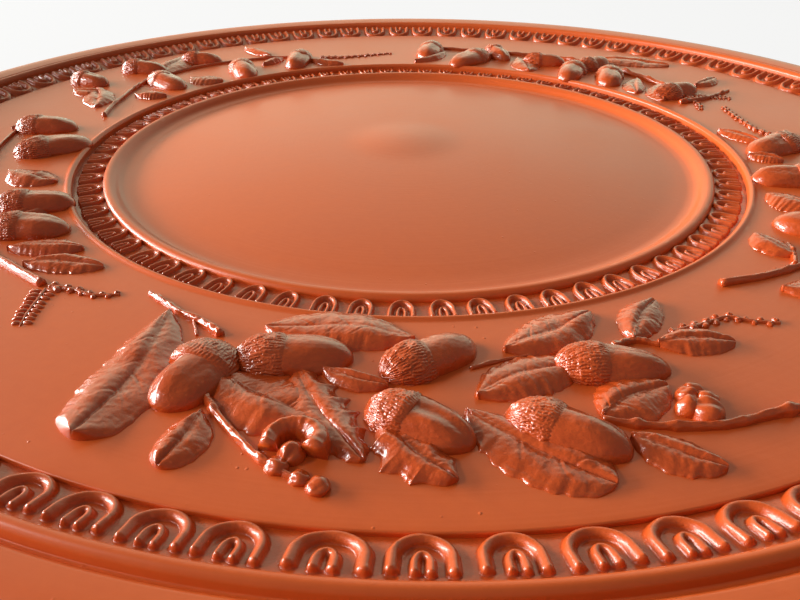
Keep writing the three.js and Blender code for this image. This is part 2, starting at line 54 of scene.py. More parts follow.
BODY_SIDES = 720
FOOT_SIDES = 360
ARCH_STEPS = 64
BAND_STEPS = 60
LEAF_ROWS = 140
LEAF_HALF_COLUMNS = 24
STALK_ROWS = 110
STALK_COLUMNS = 17
DOME_ROWS = 120
DOME_COLUMNS = 149
BEAD_SKIP = ((3, 5))
GRAIN_SKIP = ((5, 8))
PATH_STEPS = 200
CORNER_STEPS = 5
LONGEST_RUN = 2.5
LONGEST_FOOT_RUN = 1.5
CORNER_REACH = 0.48
LATTICE = 64

# Turned body, in the construction's sizes; its groove is deeper here and its wall steeper
body_low, body_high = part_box("plate_body")
PLATE_RADIUS = body_high.x / MM
FOOT_HEIGHT = body_low.z / MM
FOOT_RADIUS = 92
FOOT_WIDTH = 9
BODY_THICKNESS = 8
TONDO_DEPTH = 3.2
TONDO_DOME = 6
FLOOR_Z = FOOT_HEIGHT + BODY_THICKNESS + TONDO_DEPTH
TONDO_Z = FLOOR_Z - TONDO_DEPTH
BOSS_RADIUS = 16
BOSS_RISE = 1.1
LIP_RADIUS = 97.4
LIP_WIDTH = 3.4
LIP_DROP = 0.3
LIP_Z = FLOOR_Z - LIP_DROP
WALL_WIDTH = 6
TONDO_RADIUS = LIP_RADIUS - LIP_WIDTH / 2 - WALL_WIDTH
AXIS_HOLE = 0.4
INNER_CHANNEL_WIDTH = 8.9
INNER_CHANNEL_DEPTH = 2.8
INNER_START = LIP_RADIUS + LIP_WIDTH / 2
INNER_END = INNER_START + INNER_CHANNEL_WIDTH
INNER_BED = FLOOR_Z - INNER_CHANNEL_DEPTH
INNER_RIDGE_WIDTH = 2.2
INNER_RIDGE_RISE = 0.8
FLOOR_START = INNER_END + INNER_RIDGE_WIDTH
RIM_WIDTH = 15.4
RIM_THICKNESS = 7
RIM_CROWN = 1.1
RIM_DROP = 1.3
GROOVE_WIDTH = 1.4
GROOVE_DEPTH = 1.1
OUTER_RIDGE_WIDTH = 3.2
OUTER_RIDGE_RISE = 4.4
RIDGE_END = PLATE_RADIUS - RIM_WIDTH
RIDGE_Z = FLOOR_Z + OUTER_RIDGE_RISE
RIM_Z = RIDGE_Z - RIM_DROP
OUTER_CHANNEL_WIDTH = 11.4
OUTER_CHANNEL_DEPTH = 1.8
OUTER_CLIMB = 3.0
OUTER_END = RIDGE_END - OUTER_RIDGE_WIDTH
FLOOR_END = OUTER_END - OUTER_CHANNEL_WIDTH
OUTER_BED = FLOOR_Z - OUTER_CHANNEL_DEPTH

# Stamped bands. width, depth and ridge are the outer arch's; inner_top is where the inner arch
# starts. drift moves every stamp along the band, and slip each one by its slip_share of it
STRIP = 0.7
OUTER_OVOLO = {
    "name": "outer_ovolo", "start": FLOOR_END, "end": OUTER_END, "count": 86,
    "bed": OUTER_BED + STRIP, "climb": OUTER_CLIMB, "rise": 1.65,
    "width": 9.3, "ridge": 1.8, "depth": 9.5,
    "inner_top": 4.9, "inner_width": 2.6, "inner_ridge": 1.5,
    "drift": 1.3, "slip": 2.9,
}
INNER_OVOLO = {
    "name": "inner_ovolo", "start": INNER_START, "end": INNER_END, "count": 72,
    "bed": INNER_BED + STRIP, "climb": 0.0, "rise": 1.3,
    "width": 5.3, "ridge": 1.15, "depth": 7.5,
    "inner_top": 3.5, "inner_width": 1.75, "inner_ridge": 0.9,
    "drift": 0.0, "slip": 0.0,
}
OUTER_BAND_SEED = 11
INNER_BAND_SEED = 301

# How far a hand turns a stamp (degrees), shifts it (mm), and presses and squeezes it (shares)
STAMP_TURN = 4
STAMP_SHIFT = 0.3
STAMP_OUT = (-0.1, 0.2)
STAMP_PRESS = (0.88, 1.0)
STAMP_SQUEEZE = (0.95, 1.05)
INNER_ARCH_SHIFT = 0.25
RIDGE_SPREAD = 0.56
WEAR = 0.12
BAND_MARGIN = 0.05

# Moulded oak pieces
ACORN_LENGTH = 23
ACORN_HEIGHT = 5.55
NUT_WIDTH = 11
CUP_WIDTH = 12.6
CUP_SHARE = 0.45
CUP_OVERLAP = 0.45
CUP_INSET = 0.3
SCALE_REACH = 0.5
LARGE_ACORN = 1.12
MIDDLE_ACORN = 0.95
SMALL_ACORN = 0.85
LEAF_TOP = 3.2
LEAF_EDGE_TOP = 0.12
LARGE_LEAF = 18
BLUNT_LEAF = 16.5
BROAD_LEAF = 15
MIDDLE_LEAF = 13
SMALL_LEAF = 9.5
SLIM_LEAF = 8
THIN_LEAF = 7
TINY_LEAF = 6
STEM_WIDTH = 2.2
SLIM_STEM = 1.8
STEM_FLATNESS = 0.85
TWIG_WIDTH = 1.9
TWIG_HEIGHT = 1.6
THREAD_WIDTH = 1.0
THREAD_HEIGHT = 0.7
CATKIN_WIDTH = 3.1
CATKIN_PITCH = 1.55
CATKIN_BEAD_HEIGHT = 1.05
FERN_WIDTH = 6.4
FERN_PITCH = 1.7
GRAIN_WIDTH = 1.25
BEAD_HEIGHT = 1.1
GALL_BALL = 5.0
HOOD_REACH = 4.4
HOOD_WIDTH = 4.9
HOOD_HEIGHT = 4.0
HOOD_BEND = (-112, 108)
HOOD_POINTS = 7
BALL_BACK = 1.9

# How far the edges of all pieces are sunk into the body
SUNK = 0.4

# Each sprig's seeds start at its azimuth times this, and its extra pieces' so much later
SEEDS_A_DEGREE = 50
EXTRA_SEEDS = 30

# Slip: noises as (waves a metre, detail, roughness), bumps as (strength, metres of height), and
# the spans of pointiness, X, distance or noise over which something changes
CLAY_IOR = 1.5
COAT_ROUGHNESS = 0.14
CLOUD = (28.0, 6.0, 0.6)
FINE = (420.0, 4.0, 0.65)
BRUSHED_GRIT = (420.0, 3.0, 0.6)
MOULDED_GRIT = (1100.0, 3.0, 0.6)
BRUSHED_BUMP = (0.2, 0.00015)
MOULDED_BUMP = (0.6, 0.0002)
FINE_SHARE = 0.35
# Paler crests and darker hollows by pointiness: partly the slip pooling in hollows, partly painted shade
# there
CREST_SHARE = 0.4
TONES = (0.2, 0.8)
CREST = (0.36, 0.64)
POLISHED = (0.505, 0.57)
# Painted shade by the left edge: over this span of X the colour darkens to the share below
LEFT_SHADE_SPAN = (-0.2, -0.07)
LEFT_SHADE_VALUE = 0.62
GLOSS_SPAN = (-0.05, 0.09)
RING_SCALE = 900.0
RING_BUMP = (0.25, 0.00008)
SPECK_SCALE = 260.0
SPECK_BUMP = (0.6, 0.00025)
SPECK_EDGE = (0.02, 0.1)
SPECKED = (0.5, 0.62)

# Light, in watts, metres and shares of white
LAMP_COLOUR = (1.0, 0.99, 0.96)
ROOM_COLOUR = (1.0, 0.98, 0.92, 1)
MIRRORED_COLOUR = (1.0, 1.0, 0.72, 1)
MIRRORED_NEAR = 0.18
MIRRORED_FAR = 1.3
FAR_WALL = (0.35, 0.95)
ROOM_LIGHT = 0.24
ROOM_SEEN = 0.97
TABLE_SIZE = 4.0
TABLE_SEEN = 0.96
TABLE_SEEN_SHARE = 0.85

# Camera, solved from the turned edges of the plate
CAMERA_PLACE = (0.0, -253.5, FLOOR_Z + 91.8)
CAMERA_FORWARD = (-0.0438, 0.8588, -0.5104)
CAMERA_RIGHT = (0.9989, 0.0455, -0.0092)
CAMERA_LENS = 34.9
CAMERA_SHIFT = (0.040, -0.0066)


# Meshes from grids of points

def mesh_object(name, points, faces):
    """A smooth-shaded mesh of points in millimetres."""
    mesh = bpy.data.meshes.new(name)
    mesh.from_pydata((np.asarray(points, float) * MM).tolist(), [], faces)
    mesh.update()
    mesh.shade_smooth()
    thing = bpy.data.objects.new(name, mesh)
    bpy.context.scene.collection.objects.link(thing)
    return thing


def grid_faces(rows, columns, start=0, around=False, along=False):
    """Quads over a grid; around closes the columns on themselves, along closes the rows."""
    row_count = rows if along else rows - 1
    column_count = columns if around else columns - 1
    i = np.arange(row_count)[:, None]
    j = np.arange(column_count)[None, :]
    down = (i + 1) % rows
    right = (j + 1) % columns
    quads = np.stack([
        i * columns + j,
        i * columns + right,
        down * columns + right,
        down * columns + j,
    ], -1)
    return (quads.reshape(-1, 4) + start).tolist()


class Builder:
    """Gathers closed shells into one mesh."""

    def __init__(self):
        self.points = []
        self.faces = []
        self.count = 0

    def loops(self, grid):
        """A closed tube of loops: grid[row][column], each row a loop, both ends capped."""
        rows, columns = grid.shape[:2]
        self.points.append(grid.reshape(-1, 3))
        self.faces += grid_faces(rows, columns, self.count, around=True)
        first = list(range(self.count, self.count + columns))
        last_start = self.count + (rows - 1) * columns
        last = list(range(last_start, last_start + columns))
        self.faces.append(first[::-1])
        self.faces.append(last)
        self.count += rows * columns

    def ring(self, grid):
        """A closed ring: grid[around][profile], closed both ways."""
        rows, columns = grid.shape[:2]
        self.points.append(grid.reshape(-1, 3))
        self.faces += grid_faces(rows, columns, self.count, around=True, along=True)
        self.count += rows * columns

    def object(self, name):
        """The gathered shells as one object."""
        return mesh_object(name, np.concatenate(self.points), self.faces)


def outward(thing):
    """Turns a closed mesh's faces outwards."""
    bm = bmesh.new()
    bm.from_mesh(thing.data)
    bmesh.ops.recalc_face_normals(bm, faces=bm.faces)
    bm.to_mesh(thing.data)
    bm.free()


def bell(distance, width):
    """1 at no distance, falling smoothly to nothing."""
    return np.exp(-(distance / width) ** 2)


def wander(t, seed, steps=(2, 3, 5, 9)):
    """A smooth wave of height about 1 along t, the same for the same seed."""
    draw = np.random.RandomState(seed)
    total = 0
    for step in steps:
        total = total + draw.uniform(-1, 1) * np.sin(2 * np.pi * (step * t + draw.uniform()))
    return total / math.sqrt(len(steps))


def value_noise(x, y, seed):
    """Smooth noise from -1 to 1 on a lattice of pitch 1."""
    draw = np.random.RandomState(seed)
    table = draw.uniform(-1, 1, (LATTICE, LATTICE))
    xi = np.floor(x).astype(int)
    yi = np.floor(y).astype(int)
    fx = x - xi
    fy = y - yi
    fx = fx * fx * (3 - 2 * fx)
    fy = fy * fy * (3 - 2 * fy)
    a = table[xi % LATTICE, yi % LATTICE]
    b = table[(xi + 1) % LATTICE, yi % LATTICE]
    c = table[xi % LATTICE, (yi + 1) % LATTICE]
    d = table[(xi + 1) % LATTICE, (yi + 1) % LATTICE]
    return (a * (1 - fx) + b * fx) * (1 - fy) + (c * (1 - fx) + d * fx) * fy


# Materials

def feed(tree, socket, value):
    """Sets a socket to a plain value, or links it to another socket."""
    if isinstance(value, bpy.types.NodeSocket):
        tree.links.new(value, socket)
    else:
        socket.default_value = value


def node(tree, kind, **inputs):
    """A new node with its inputs set by name."""
    new = tree.nodes.new(kind)
    for key, value in inputs.items():
        feed(tree, new.inputs[key.replace("_", " ")], value)
    return new


def maths(tree, operation, *values):
    """The result of one operation on numbers or sockets."""
    new = tree.nodes.new("ShaderNodeMath")
    new.operation = operation
    for socket, value in zip(new.inputs, values):
        feed(tree, socket, value)
    return new.outputs[0]


def noise(tree, place, scale, detail, roughness):
    """A noise from 0 to 1."""
    new = node(tree, "ShaderNodeTexNoise", Vector=place, Scale=scale, Detail=detail, Roughness=roughness)
    return new.outputs["Fac"]


def bump(tree, height, strength, distance, below=None):
    """The normal of a height field, on top of the normal below it."""
    new = node(tree, "ShaderNodeBump", Strength=strength, Distance=distance, Height=height)
    if below is not None:
        feed(tree, new.inputs["Normal"], below)
    return new.outputs["Normal"]


def map_range(tree, value, low, high, to_low, to_high, curve="SMOOTHSTEP"):
    """The value's place between low and high, as a mix of two numbers or sockets."""
    new = tree.nodes.new("ShaderNodeMapRange")
    new.interpolation_type = curve
    settings = {"Value": value, "From Min": low, "From Max": high, "To Min": to_low, "To Max": to_high}
    for name, setting in settings.items():
        feed(tree, new.inputs[name], setting)
    return new.outputs["Result"]


def srgb(r, g, b):
    """A colour as seen on a screen, as the linear one that a shader takes."""
    def linear(c):
        return c / 12.92 if c <= 0.04045 else ((c + 0.055) / 1.055) ** 2.4
    return (linear(r), linear(g), linear(b), 1.0)


def turned_normal(tree, place, cloud, normal):
    """Fine turning rings and scattered specks over a normal."""
    flat = node(tree, "ShaderNodeMapping", Vector=place, Scale=(1.0, 1.0, 0.0))
    radius = tree.nodes.new("ShaderNodeVectorMath")
    radius.operation = "LENGTH"
    feed(tree, radius.inputs[0], flat.outputs["Vector"])
    rings = node(tree, "ShaderNodeTexNoise", Scale=RING_SCALE, Detail=3.0)
    rings.noise_dimensions = "1D"
    feed(tree, rings.inputs["W"], radius.outputs["Value"])
    normal = bump(tree, rings.outputs["Fac"], *RING_BUMP, normal)
    cells = node(tree, "ShaderNodeTexVoronoi", Vector=place, Scale=SPECK_SCALE)
    dots = map_range(tree, cells.outputs["Distance"], *SPECK_EDGE, 1.0, 0.0)
    patches = map_range(tree, cloud, *SPECKED, 0.0, 1.0)
    return bump(tree, maths(tree, "MULTIPLY", dots, patches), *SPECK_BUMP, normal)


def slip_material(name, light, dark, roughness, coat, crest_coat, grit, grit_bump,
                  turned=False, mirror=0.5):
    """Gloss slip: mottled, paler on crests and darker in hollows, partly slip pooling and partly painted
    shade, more polished on crests, and darker by the left edge as painted shade.

    grit is the noise of its grain; turned adds rings and specks.
    """
    material = bpy.data.materials.new(name)
    material.use_nodes = True
    tree = material.node_tree
    shader = tree.nodes["Principled BSDF"]
    shader.inputs["IOR"].default_value = CLAY_IOR
    shader.inputs["Coat Roughness"].default_value = COAT_ROUGHNESS
    shader.inputs["Specular IOR Level"].default_value = mirror
    place = tree.nodes.new("ShaderNodeTexCoord").outputs["Object"]
    pointed = tree.nodes.new("ShaderNodeNewGeometry").outputs["Pointiness"]

    cloud = noise(tree, place, *CLOUD)
    mottle = tree.nodes.new("ShaderNodeMix")
    mottle.data_type = "FLOAT"
    for number, value in ((0, FINE_SHARE), (2, cloud), (3, noise(tree, place, *FINE))):
        feed(tree, mottle.inputs[number], value)
    clouded = maths(tree, "MULTIPLY", mottle.outputs[0], 1 - CREST_SHARE)
    # Crests paler and hollows darker: slip pooling plus painted shade in the hollows
    crest = map_range(tree, pointed, *CREST, 0.0, 1.0, curve="LINEAR")
    ramp = node(tree, "ShaderNodeValToRGB", Fac=maths(tree, "MULTIPLY_ADD", crest, CREST_SHARE, clouded))
    for element, position, colour in zip(ramp.color_ramp.elements, TONES, (dark, light)):
        element.position = position
        element.color = colour
    # Painted shade: the colour darkens towards the left edge
    across = node(tree, "ShaderNodeSeparateXYZ", Vector=place).outputs["X"]
    shade = map_range(tree, across, *LEFT_SHADE_SPAN, LEFT_SHADE_VALUE, 1.0)
    shaded = node(tree, "ShaderNodeHueSaturation", Value=shade, Color=ramp.outputs["Color"])
    feed(tree, shader.inputs["Base Color"], shaded.outputs["Color"])

    polish = map_range(tree, pointed, *POLISHED, coat, coat + crest_coat)
    feed(tree, shader.inputs["Coat Weight"], polish)
    smoothest, roughest = (roughness + span for span in GLOSS_SPAN)
    gloss = map_range(tree, cloud, 0.0, 1.0, smoothest, roughest, curve="LINEAR")
    feed(tree, shader.inputs["Roughness"], gloss)

    normal = bump(tree, noise(tree, place, *grit), *grit_bump)
    if turned:
        normal = turned_normal(tree, place, cloud, normal)
    feed(tree, shader.inputs["Normal"], normal)
    return material


BRUSHED = {"crest_coat": 0.25, "grit": BRUSHED_GRIT, "grit_bump": BRUSHED_BUMP, "turned": True}
MOULDED = {"crest_coat": 0.55, "grit": MOULDED_GRIT, "grit_bump": MOULDED_BUMP}
BODY_SLIP = slip_material(
    "body_slip", srgb(0.88, 0.39, 0.14), srgb(0.80, 0.32, 0.11), roughness=0.36, coat=0.1, **BRUSHED)
# The relief has the body's slip; its darker dark tone is painted shade, to deepen the relief's shaded sides
RELIEF_SLIP = slip_material(
    "relief_slip", srgb(0.86, 0.36, 0.13), srgb(0.60, 0.19, 0.065),
    roughness=0.24, coat=0.6, mirror=0.42, **MOULDED)
BAND_SLIP = slip_material(
    "band_slip", srgb(0.87, 0.38, 0.14), srgb(0.66, 0.22, 0.07),
    roughness=0.34, coat=0.3, mirror=0.36, **MOULDED)
FOOT_CLAY = slip_material(
    "foot_clay", srgb(0.76, 0.40, 0.24), srgb(0.62, 0.28, 0.16), roughness=0.5, coat=0.0, **BRUSHED)


def finish_piece(thing, material, slot, *nodes):
    """Gives a piece its material and body, and hides the CAD nodes that it stands for. slot is not used."""
    outward(thing)
    thing.data.materials.append(material)
    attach(thing, "root")
    if nodes:
        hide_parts(*nodes)


# Turned body and foot ring

def rounded(corners):
    """A profile of (radius, height, corner radius), its corners rounded by arcs, closed."""
    points = []
    count = len(corners)
    for i, (x, y, size) in enumerate(corners):
        here = np.array([x, y], float)
        before = np.array(corners[i - 1][:2], float) - here
        after = np.array(corners[(i + 1) % count][:2], float) - here
        if size <= 0:
            points.append(here)
            continue
        before_length = np.linalg.norm(before)
        after_length = np.linalg.norm(after)
        reach = min(size, before_length * CORNER_REACH, after_length * CORNER_REACH)
        start = here + before / before_length * reach
        end = here + after / after_length * reach
        for t in np.arange(CORNER_STEPS + 1) / CORNER_STEPS:
            points.append((1 - t) ** 2 * start + 2 * t * (1 - t) * here + t * t * end)
    return np.array(points)


def dense(profile, longest, closed=True):
    """The profile with more points where its runs are long."""
    points = []
    count = len(profile)
    for i in range(count if closed else count - 1):
        a = profile[i]
        b = profile[(i + 1) % count]
        steps = max(1, int(np.ceil(np.linalg.norm(b - a) / longest)))
        for k in range(steps):
            points.append(a + (b - a) * k / steps)
    if not closed:
        points.append(profile[-1])
    return np.array(points)


def turned_object(name, profile, sides, hollow=True):
    """A ring turned about Z, or a full disc whose profile starts and ends near the axis."""
    angles = np.arange(sides) * 2 * np.pi / sides
    grid = np.zeros((sides, len(profile), 3))
    grid[..., 0] = np.cos(angles)[:, None] * profile[None, :, 0]
    grid[..., 1] = np.sin(angles)[:, None] * profile[None, :, 0]
    grid[..., 2] = profile[None, :, 1]
    if hollow:
        builder = Builder()
        builder.ring(grid)
        return builder.object(name)
    points = grid.reshape(-1, 3)
    columns = len(profile)
    faces = grid_faces(sides, columns, along=True)
    faces.append([i * columns for i in range(sides)])
    faces.append([i * columns + columns - 1 for i in range(sides)][::-1])
    return mesh_object(name, points, faces)


def dome_rise(radius):
    """How much higher the middle is thrown than its edge."""
    return TONDO_DOME * (1 - (radius / TONDO_RADIUS) ** 2)


def body_profile():
    """Starts under the middle, goes out under the rim, and comes back over the top."""
    ridge_middle = (INNER_END + FLOOR_START) / 2
    groove = RIDGE_END + GROOVE_WIDTH
    under = FOOT_HEIGHT
    foot_inside = FOOT_RADIUS - FOOT_WIDTH
    corners = [
        (AXIS_HOLE, under + TONDO_DOME, 0),
        (TONDO_RADIUS * 0.3, under + dome_rise(TONDO_RADIUS * 0.3), 12),
        (TONDO_RADIUS * 0.6, under + dome_rise(TONDO_RADIUS * 0.6), 12),
        (foot_inside, under, 4),
        (FOOT_RADIUS + FOOT_WIDTH, under, 6),
        (FLOOR_END, OUTER_BED - BODY_THICKNESS, 20),
        (PLATE_RADIUS - RIM_THICKNESS / 3, RIM_Z - RIM_THICKNESS, 3),
        (PLATE_RADIUS, RIM_Z - RIM_THICKNESS / 2, 3.4),
        (PLATE_RADIUS - RIM_THICKNESS / 4, RIM_Z, 2.2),
        ((PLATE_RADIUS + groove) / 2, RIM_Z + RIM_CROWN, 6),
        (groove + 0.7, RIM_Z + 0.5, 0.9),
        (groove - 0.2, RIM_Z - GROOVE_DEPTH, 0.4),
        (RIDGE_END + 0.3, RIM_Z - GROOVE_DEPTH, 0.3),
        (RIDGE_END - 0.1, RIDGE_Z - 0.8, 0.5),
        (RIDGE_END - 0.9, RIDGE_Z - 0.02, 0.8),
        (OUTER_END + 1.1, RIDGE_Z - 0.1, 0.8),
        (OUTER_END + 0.1, RIDGE_Z - 1.1, 0.6),
        (OUTER_END, OUTER_BED + OUTER_CLIMB, 0.6),
        (FLOOR_END, OUTER_BED, 0.6),
        (FLOOR_END, FLOOR_Z - 0.05, 0.5),
        (FLOOR_END - 3, FLOOR_Z, 1.5),
        (FLOOR_START + 0.2, FLOOR_Z, 0.6),
        (ridge_middle, FLOOR_Z + INNER_RIDGE_RISE, 0.7),
        (INNER_END, FLOOR_Z - 0.1, 0.5),
        (INNER_END, INNER_BED, 0.5),
        (INNER_START, INNER_BED, 0.5),
        (INNER_START, LIP_Z - 0.9, 0.8),
        (LIP_RADIUS + 0.8, LIP_Z, 1.0),
        (LIP_RADIUS - 0.6, LIP_Z, 1.2),
        (LIP_RADIUS - LIP_WIDTH / 2 - 0.3, LIP_Z - 0.9, 1.2),
        (TONDO_RADIUS + 4.3, TONDO_Z + 0.5, 1.2),
        (TONDO_RADIUS + 2.2, TONDO_Z + 0.02, 1.2),
        (TONDO_RADIUS - 3.0, TONDO_Z + dome_rise(TONDO_RADIUS - 3.0), 2.0),
    ]
    for share in (0.9, 0.8, 0.7, 0.6, 0.5, 0.4, 0.3):
        corners.append((TONDO_RADIUS * share, TONDO_Z + dome_rise(TONDO_RADIUS * share), 5.0))
    middle = TONDO_Z + TONDO_DOME
    corners += [
        (BOSS_RADIUS + 2, TONDO_Z + dome_rise(BOSS_RADIUS + 2), 5.0),
        (BOSS_RADIUS * 0.55, middle + BOSS_RISE * 0.6, 5.0),
        (3.0, middle + BOSS_RISE - 0.1, 2.0),
        (AXIS_HOLE, middle + BOSS_RISE - 0.1, 0),
    ]
    return dense(rounded(corners), LONGEST_RUN, closed=False)


def make_body():
    body = turned_object("plate_body_turned", body_profile(), BODY_SIDES, hollow=False)
    finish_piece(body, BODY_SLIP, "body_slip", "plate_body")


def make_foot():
    inner = FOOT_RADIUS - FOOT_WIDTH / 2
    outer = FOOT_RADIUS + FOOT_WIDTH / 2
    corners = [
        (inner + 1.5, 0.0, 1.0),
        (outer - 1.5, 0.0, 1.0),
        (outer - 0.1, FOOT_HEIGHT * 0.4, 3.0),
        (outer - 0.4, FOOT_HEIGHT - 1.2, 1.2),
        (outer + 1.6, FOOT_HEIGHT + 0.1, 0.4),
        (inner - 0.2, FOOT_HEIGHT + 0.1, 0.4),
    ]
    foot = turned_object("foot_ring_turned", dense(rounded(corners), LONGEST_FOOT_RUN), FOOT_SIDES)
    finish_piece(foot, FOOT_CLAY, "foot_clay", "foot_ring")


# Ovolo bands: a polar field of heights, each arch a little off its place as a hand leaves it

def arch_field(s, v, ovolo, seed):
    """Share of the full height of one stamped arch at s along the band and v outwards, in mm."""
    draw = np.random.RandomState(seed)
    turn = math.radians(draw.uniform(-STAMP_TURN, STAMP_TURN))
    s = s - draw.uniform(-STAMP_SHIFT, STAMP_SHIFT)
    v = v - draw.uniform(*STAMP_OUT)
    s, v = s * math.cos(turn) - v * math.sin(turn), s * math.sin(turn) + v * math.cos(turn)
    press = draw.uniform(*STAMP_PRESS)
    squeeze = draw.uniform(*STAMP_SQUEEZE)
    ridge = ovolo["ridge"]
    half = ovolo["width"] / 2 * squeeze
    end = ovolo["depth"] - ridge / 2

    def loop(half, top, end, thick):
        """An arch with an oval head, by distance from its middle line."""
        spring = top + max((end - top) * 0.6, half)
        tall = (spring - top) / half
        up = np.minimum(v - spring, 0)
        oval = np.hypot(s, up / tall)
        slope = np.hypot(s, up / tall ** 2) / np.maximum(oval, 1e-6)
        bend = (oval - half) / np.maximum(slope, 0.3)
        path = np.where(v < spring, bend, np.abs(s) - half)
        inner_slope, outer_slope = 1.45, 0.9
        gap = np.hypot(path / np.where(path < 0, inner_slope, outer_slope), np.maximum(v - end, 0))
        return np.clip(1 - (gap / thick) ** 2, 0, 1) ** 0.75

    outer = loop(half, ridge * 0.5, end, ridge * RIDGE_SPREAD)
    inner_half = ovolo["inner_width"] / 2 * squeeze
    inner_top = ovolo["inner_top"]
    s = s - draw.uniform(-INNER_ARCH_SHIFT, INNER_ARCH_SHIFT) * inner_half
    inner = loop(inner_half, inner_top, end + 0.3, ovolo["inner_ridge"] * RIDGE_SPREAD)
    inside = np.clip(1 - (np.hypot(s, np.minimum(v - inner_top - inner_half, 0)) / inner_half), 0, 1)
    filling = 0.25 * np.clip(inside * 3, 0, 1) * (v > inner_top) * (v < end + 0.6)
    return press * np.maximum(outer, np.maximum(0.92 * inner, filling))


def slip_share(angle):
    """A stamp's share of the slip: they start on the near side, where the last gap is wide."""
    turn = (angle / (2 * np.pi)) % 1.0
    return np.clip(turn * 60, 0, 1) * np.clip((1 - turn) * 2, 0, 1)


def make_band(ovolo, seed):
    """A strip round the channel with all its arches, its long edges sunk in the bed."""
    start = ovolo["start"]
    end = ovolo["end"]
    count = ovolo["count"]
    columns = count * ARCH_STEPS
    pitch = 2 * math.pi / count
    middle = (start + end) / 2
    angle = np.arange(columns) * 2 * np.pi / columns
    radius = np.linspace(start - BAND_MARGIN, end + BAND_MARGIN, BAND_STEPS)
    drift = (ovolo["drift"] + ovolo["slip"] * slip_share(angle + 1.5 * pitch)) / middle
    number = np.round((angle - drift) / pitch).astype(int)
    s = (angle - drift - number * pitch) * middle
    field = np.zeros((columns, BAND_STEPS))
    for k in range(count):
        mine = (number % count) == k
        ss = np.broadcast_to(s[mine][:, None], (mine.sum(), BAND_STEPS))
        vv = np.broadcast_to((radius - start)[None, :], ss.shape)
        field[mine] = arch_field(ss, vv, ovolo, seed + k)
    turn = angle - math.pi / 2
    lean = ovolo["climb"] * (radius - start) / (end - start)
    wear = WEAR * value_noise(angle[:, None] * middle / 3, radius[None, :] / 3 + 0 * field, seed)
    grid = np.zeros((columns, BAND_STEPS + 2, 3))
    reach = np.concatenate([[radius[0]], radius, [radius[-1]]])
    grid[..., 0] = np.cos(turn)[:, None] * reach
    grid[..., 1] = np.sin(turn)[:, None] * reach
    grid[:, 1:-1, 2] = ovolo["bed"] + lean + wear + ovolo["rise"] * field
    grid[:, 0, 2] = ovolo["bed"] - STRIP - SUNK
    grid[:, -1, 2] = ovolo["bed"] + ovolo["climb"] - STRIP - SUNK
    builder = Builder()
    builder.ring(grid)
    name = ovolo["name"]
    finish_piece(builder.object(name + "_relief"), BAND_SLIP, "relief_slip", name + "_band")


# Sprigs. A spot is (degrees from the sprig's middle, share of the floor from the inner ridge)

class Sprig:
    """A sprig's name and place; flip mirrors it."""

    def __init__(self, name, azimuth, flip=False):
        self.name = name
        self.azimuth = azimuth
        self.side = -1 if flip else 1

    def spot(self, place):
        """A spot's x and y in millimetres."""
        degrees, across = place
        radius = FLOOR_START + across * (FLOOR_END - FLOOR_START)
        angle = math.radians(self.azimuth + self.side * degrees)
        return np.array([radius * math.cos(angle), radius * math.sin(angle)])

    def heading(self, degrees):
        """A unit vector, turned from outwards by degrees at the sprig's middle."""
        angle = math.radians(self.azimuth + self.side * degrees)
        return np.array([math.cos(angle), math.sin(angle)])


def smooth_path(points, count):
    """A Catmull-Rom curve through 2D points, evenly spaced: places and unit tangents."""
    p = np.array(points, float)
    p = np.vstack([2 * p[0] - p[1], p, 2 * p[-1] - p[-2]])
    places = []
    for i in range(1, len(p) - 2):
        t = np.linspace(0, 1, 40, endpoint=False)[:, None]
        a, b, c, d = p[i - 1], p[i], p[i + 1], p[i + 2]
        places.append(0.5 * (2 * b + (c - a) * t + (2 * a - 5 * b + 4 * c - d) * t ** 2
                             + (3 * b - a - 3 * c + d) * t ** 3))
    line = np.vstack(places + [p[-2][None]])
    gone = np.concatenate([[0], np.cumsum(np.linalg.norm(np.diff(line, axis=0), axis=1))])
    at = np.linspace(0, gone[-1], count)
    even = np.stack([np.interp(at, gone, line[:, k]) for k in (0, 1)], -1)
    along = np.gradient(even, axis=0)
    along /= np.linalg.norm(along, axis=1)[:, None]
    return even, along, gone[-1]


def skirted(x, y, z):
    """Loops through a grid of points, with both edges taken down into the floor."""
    rows, columns = z.shape
    loop = np.zeros((rows, columns + 2, 3))
    for axis, values in enumerate((x, y, z)):
        loop[:, 1:-1, axis] = values
    loop[:, 0, :] = loop[:, 1, :]
    loop[:, -1, :] = loop[:, -2, :]
    loop[:, (0, -1), 2] = FLOOR_Z - SUNK
    return loop


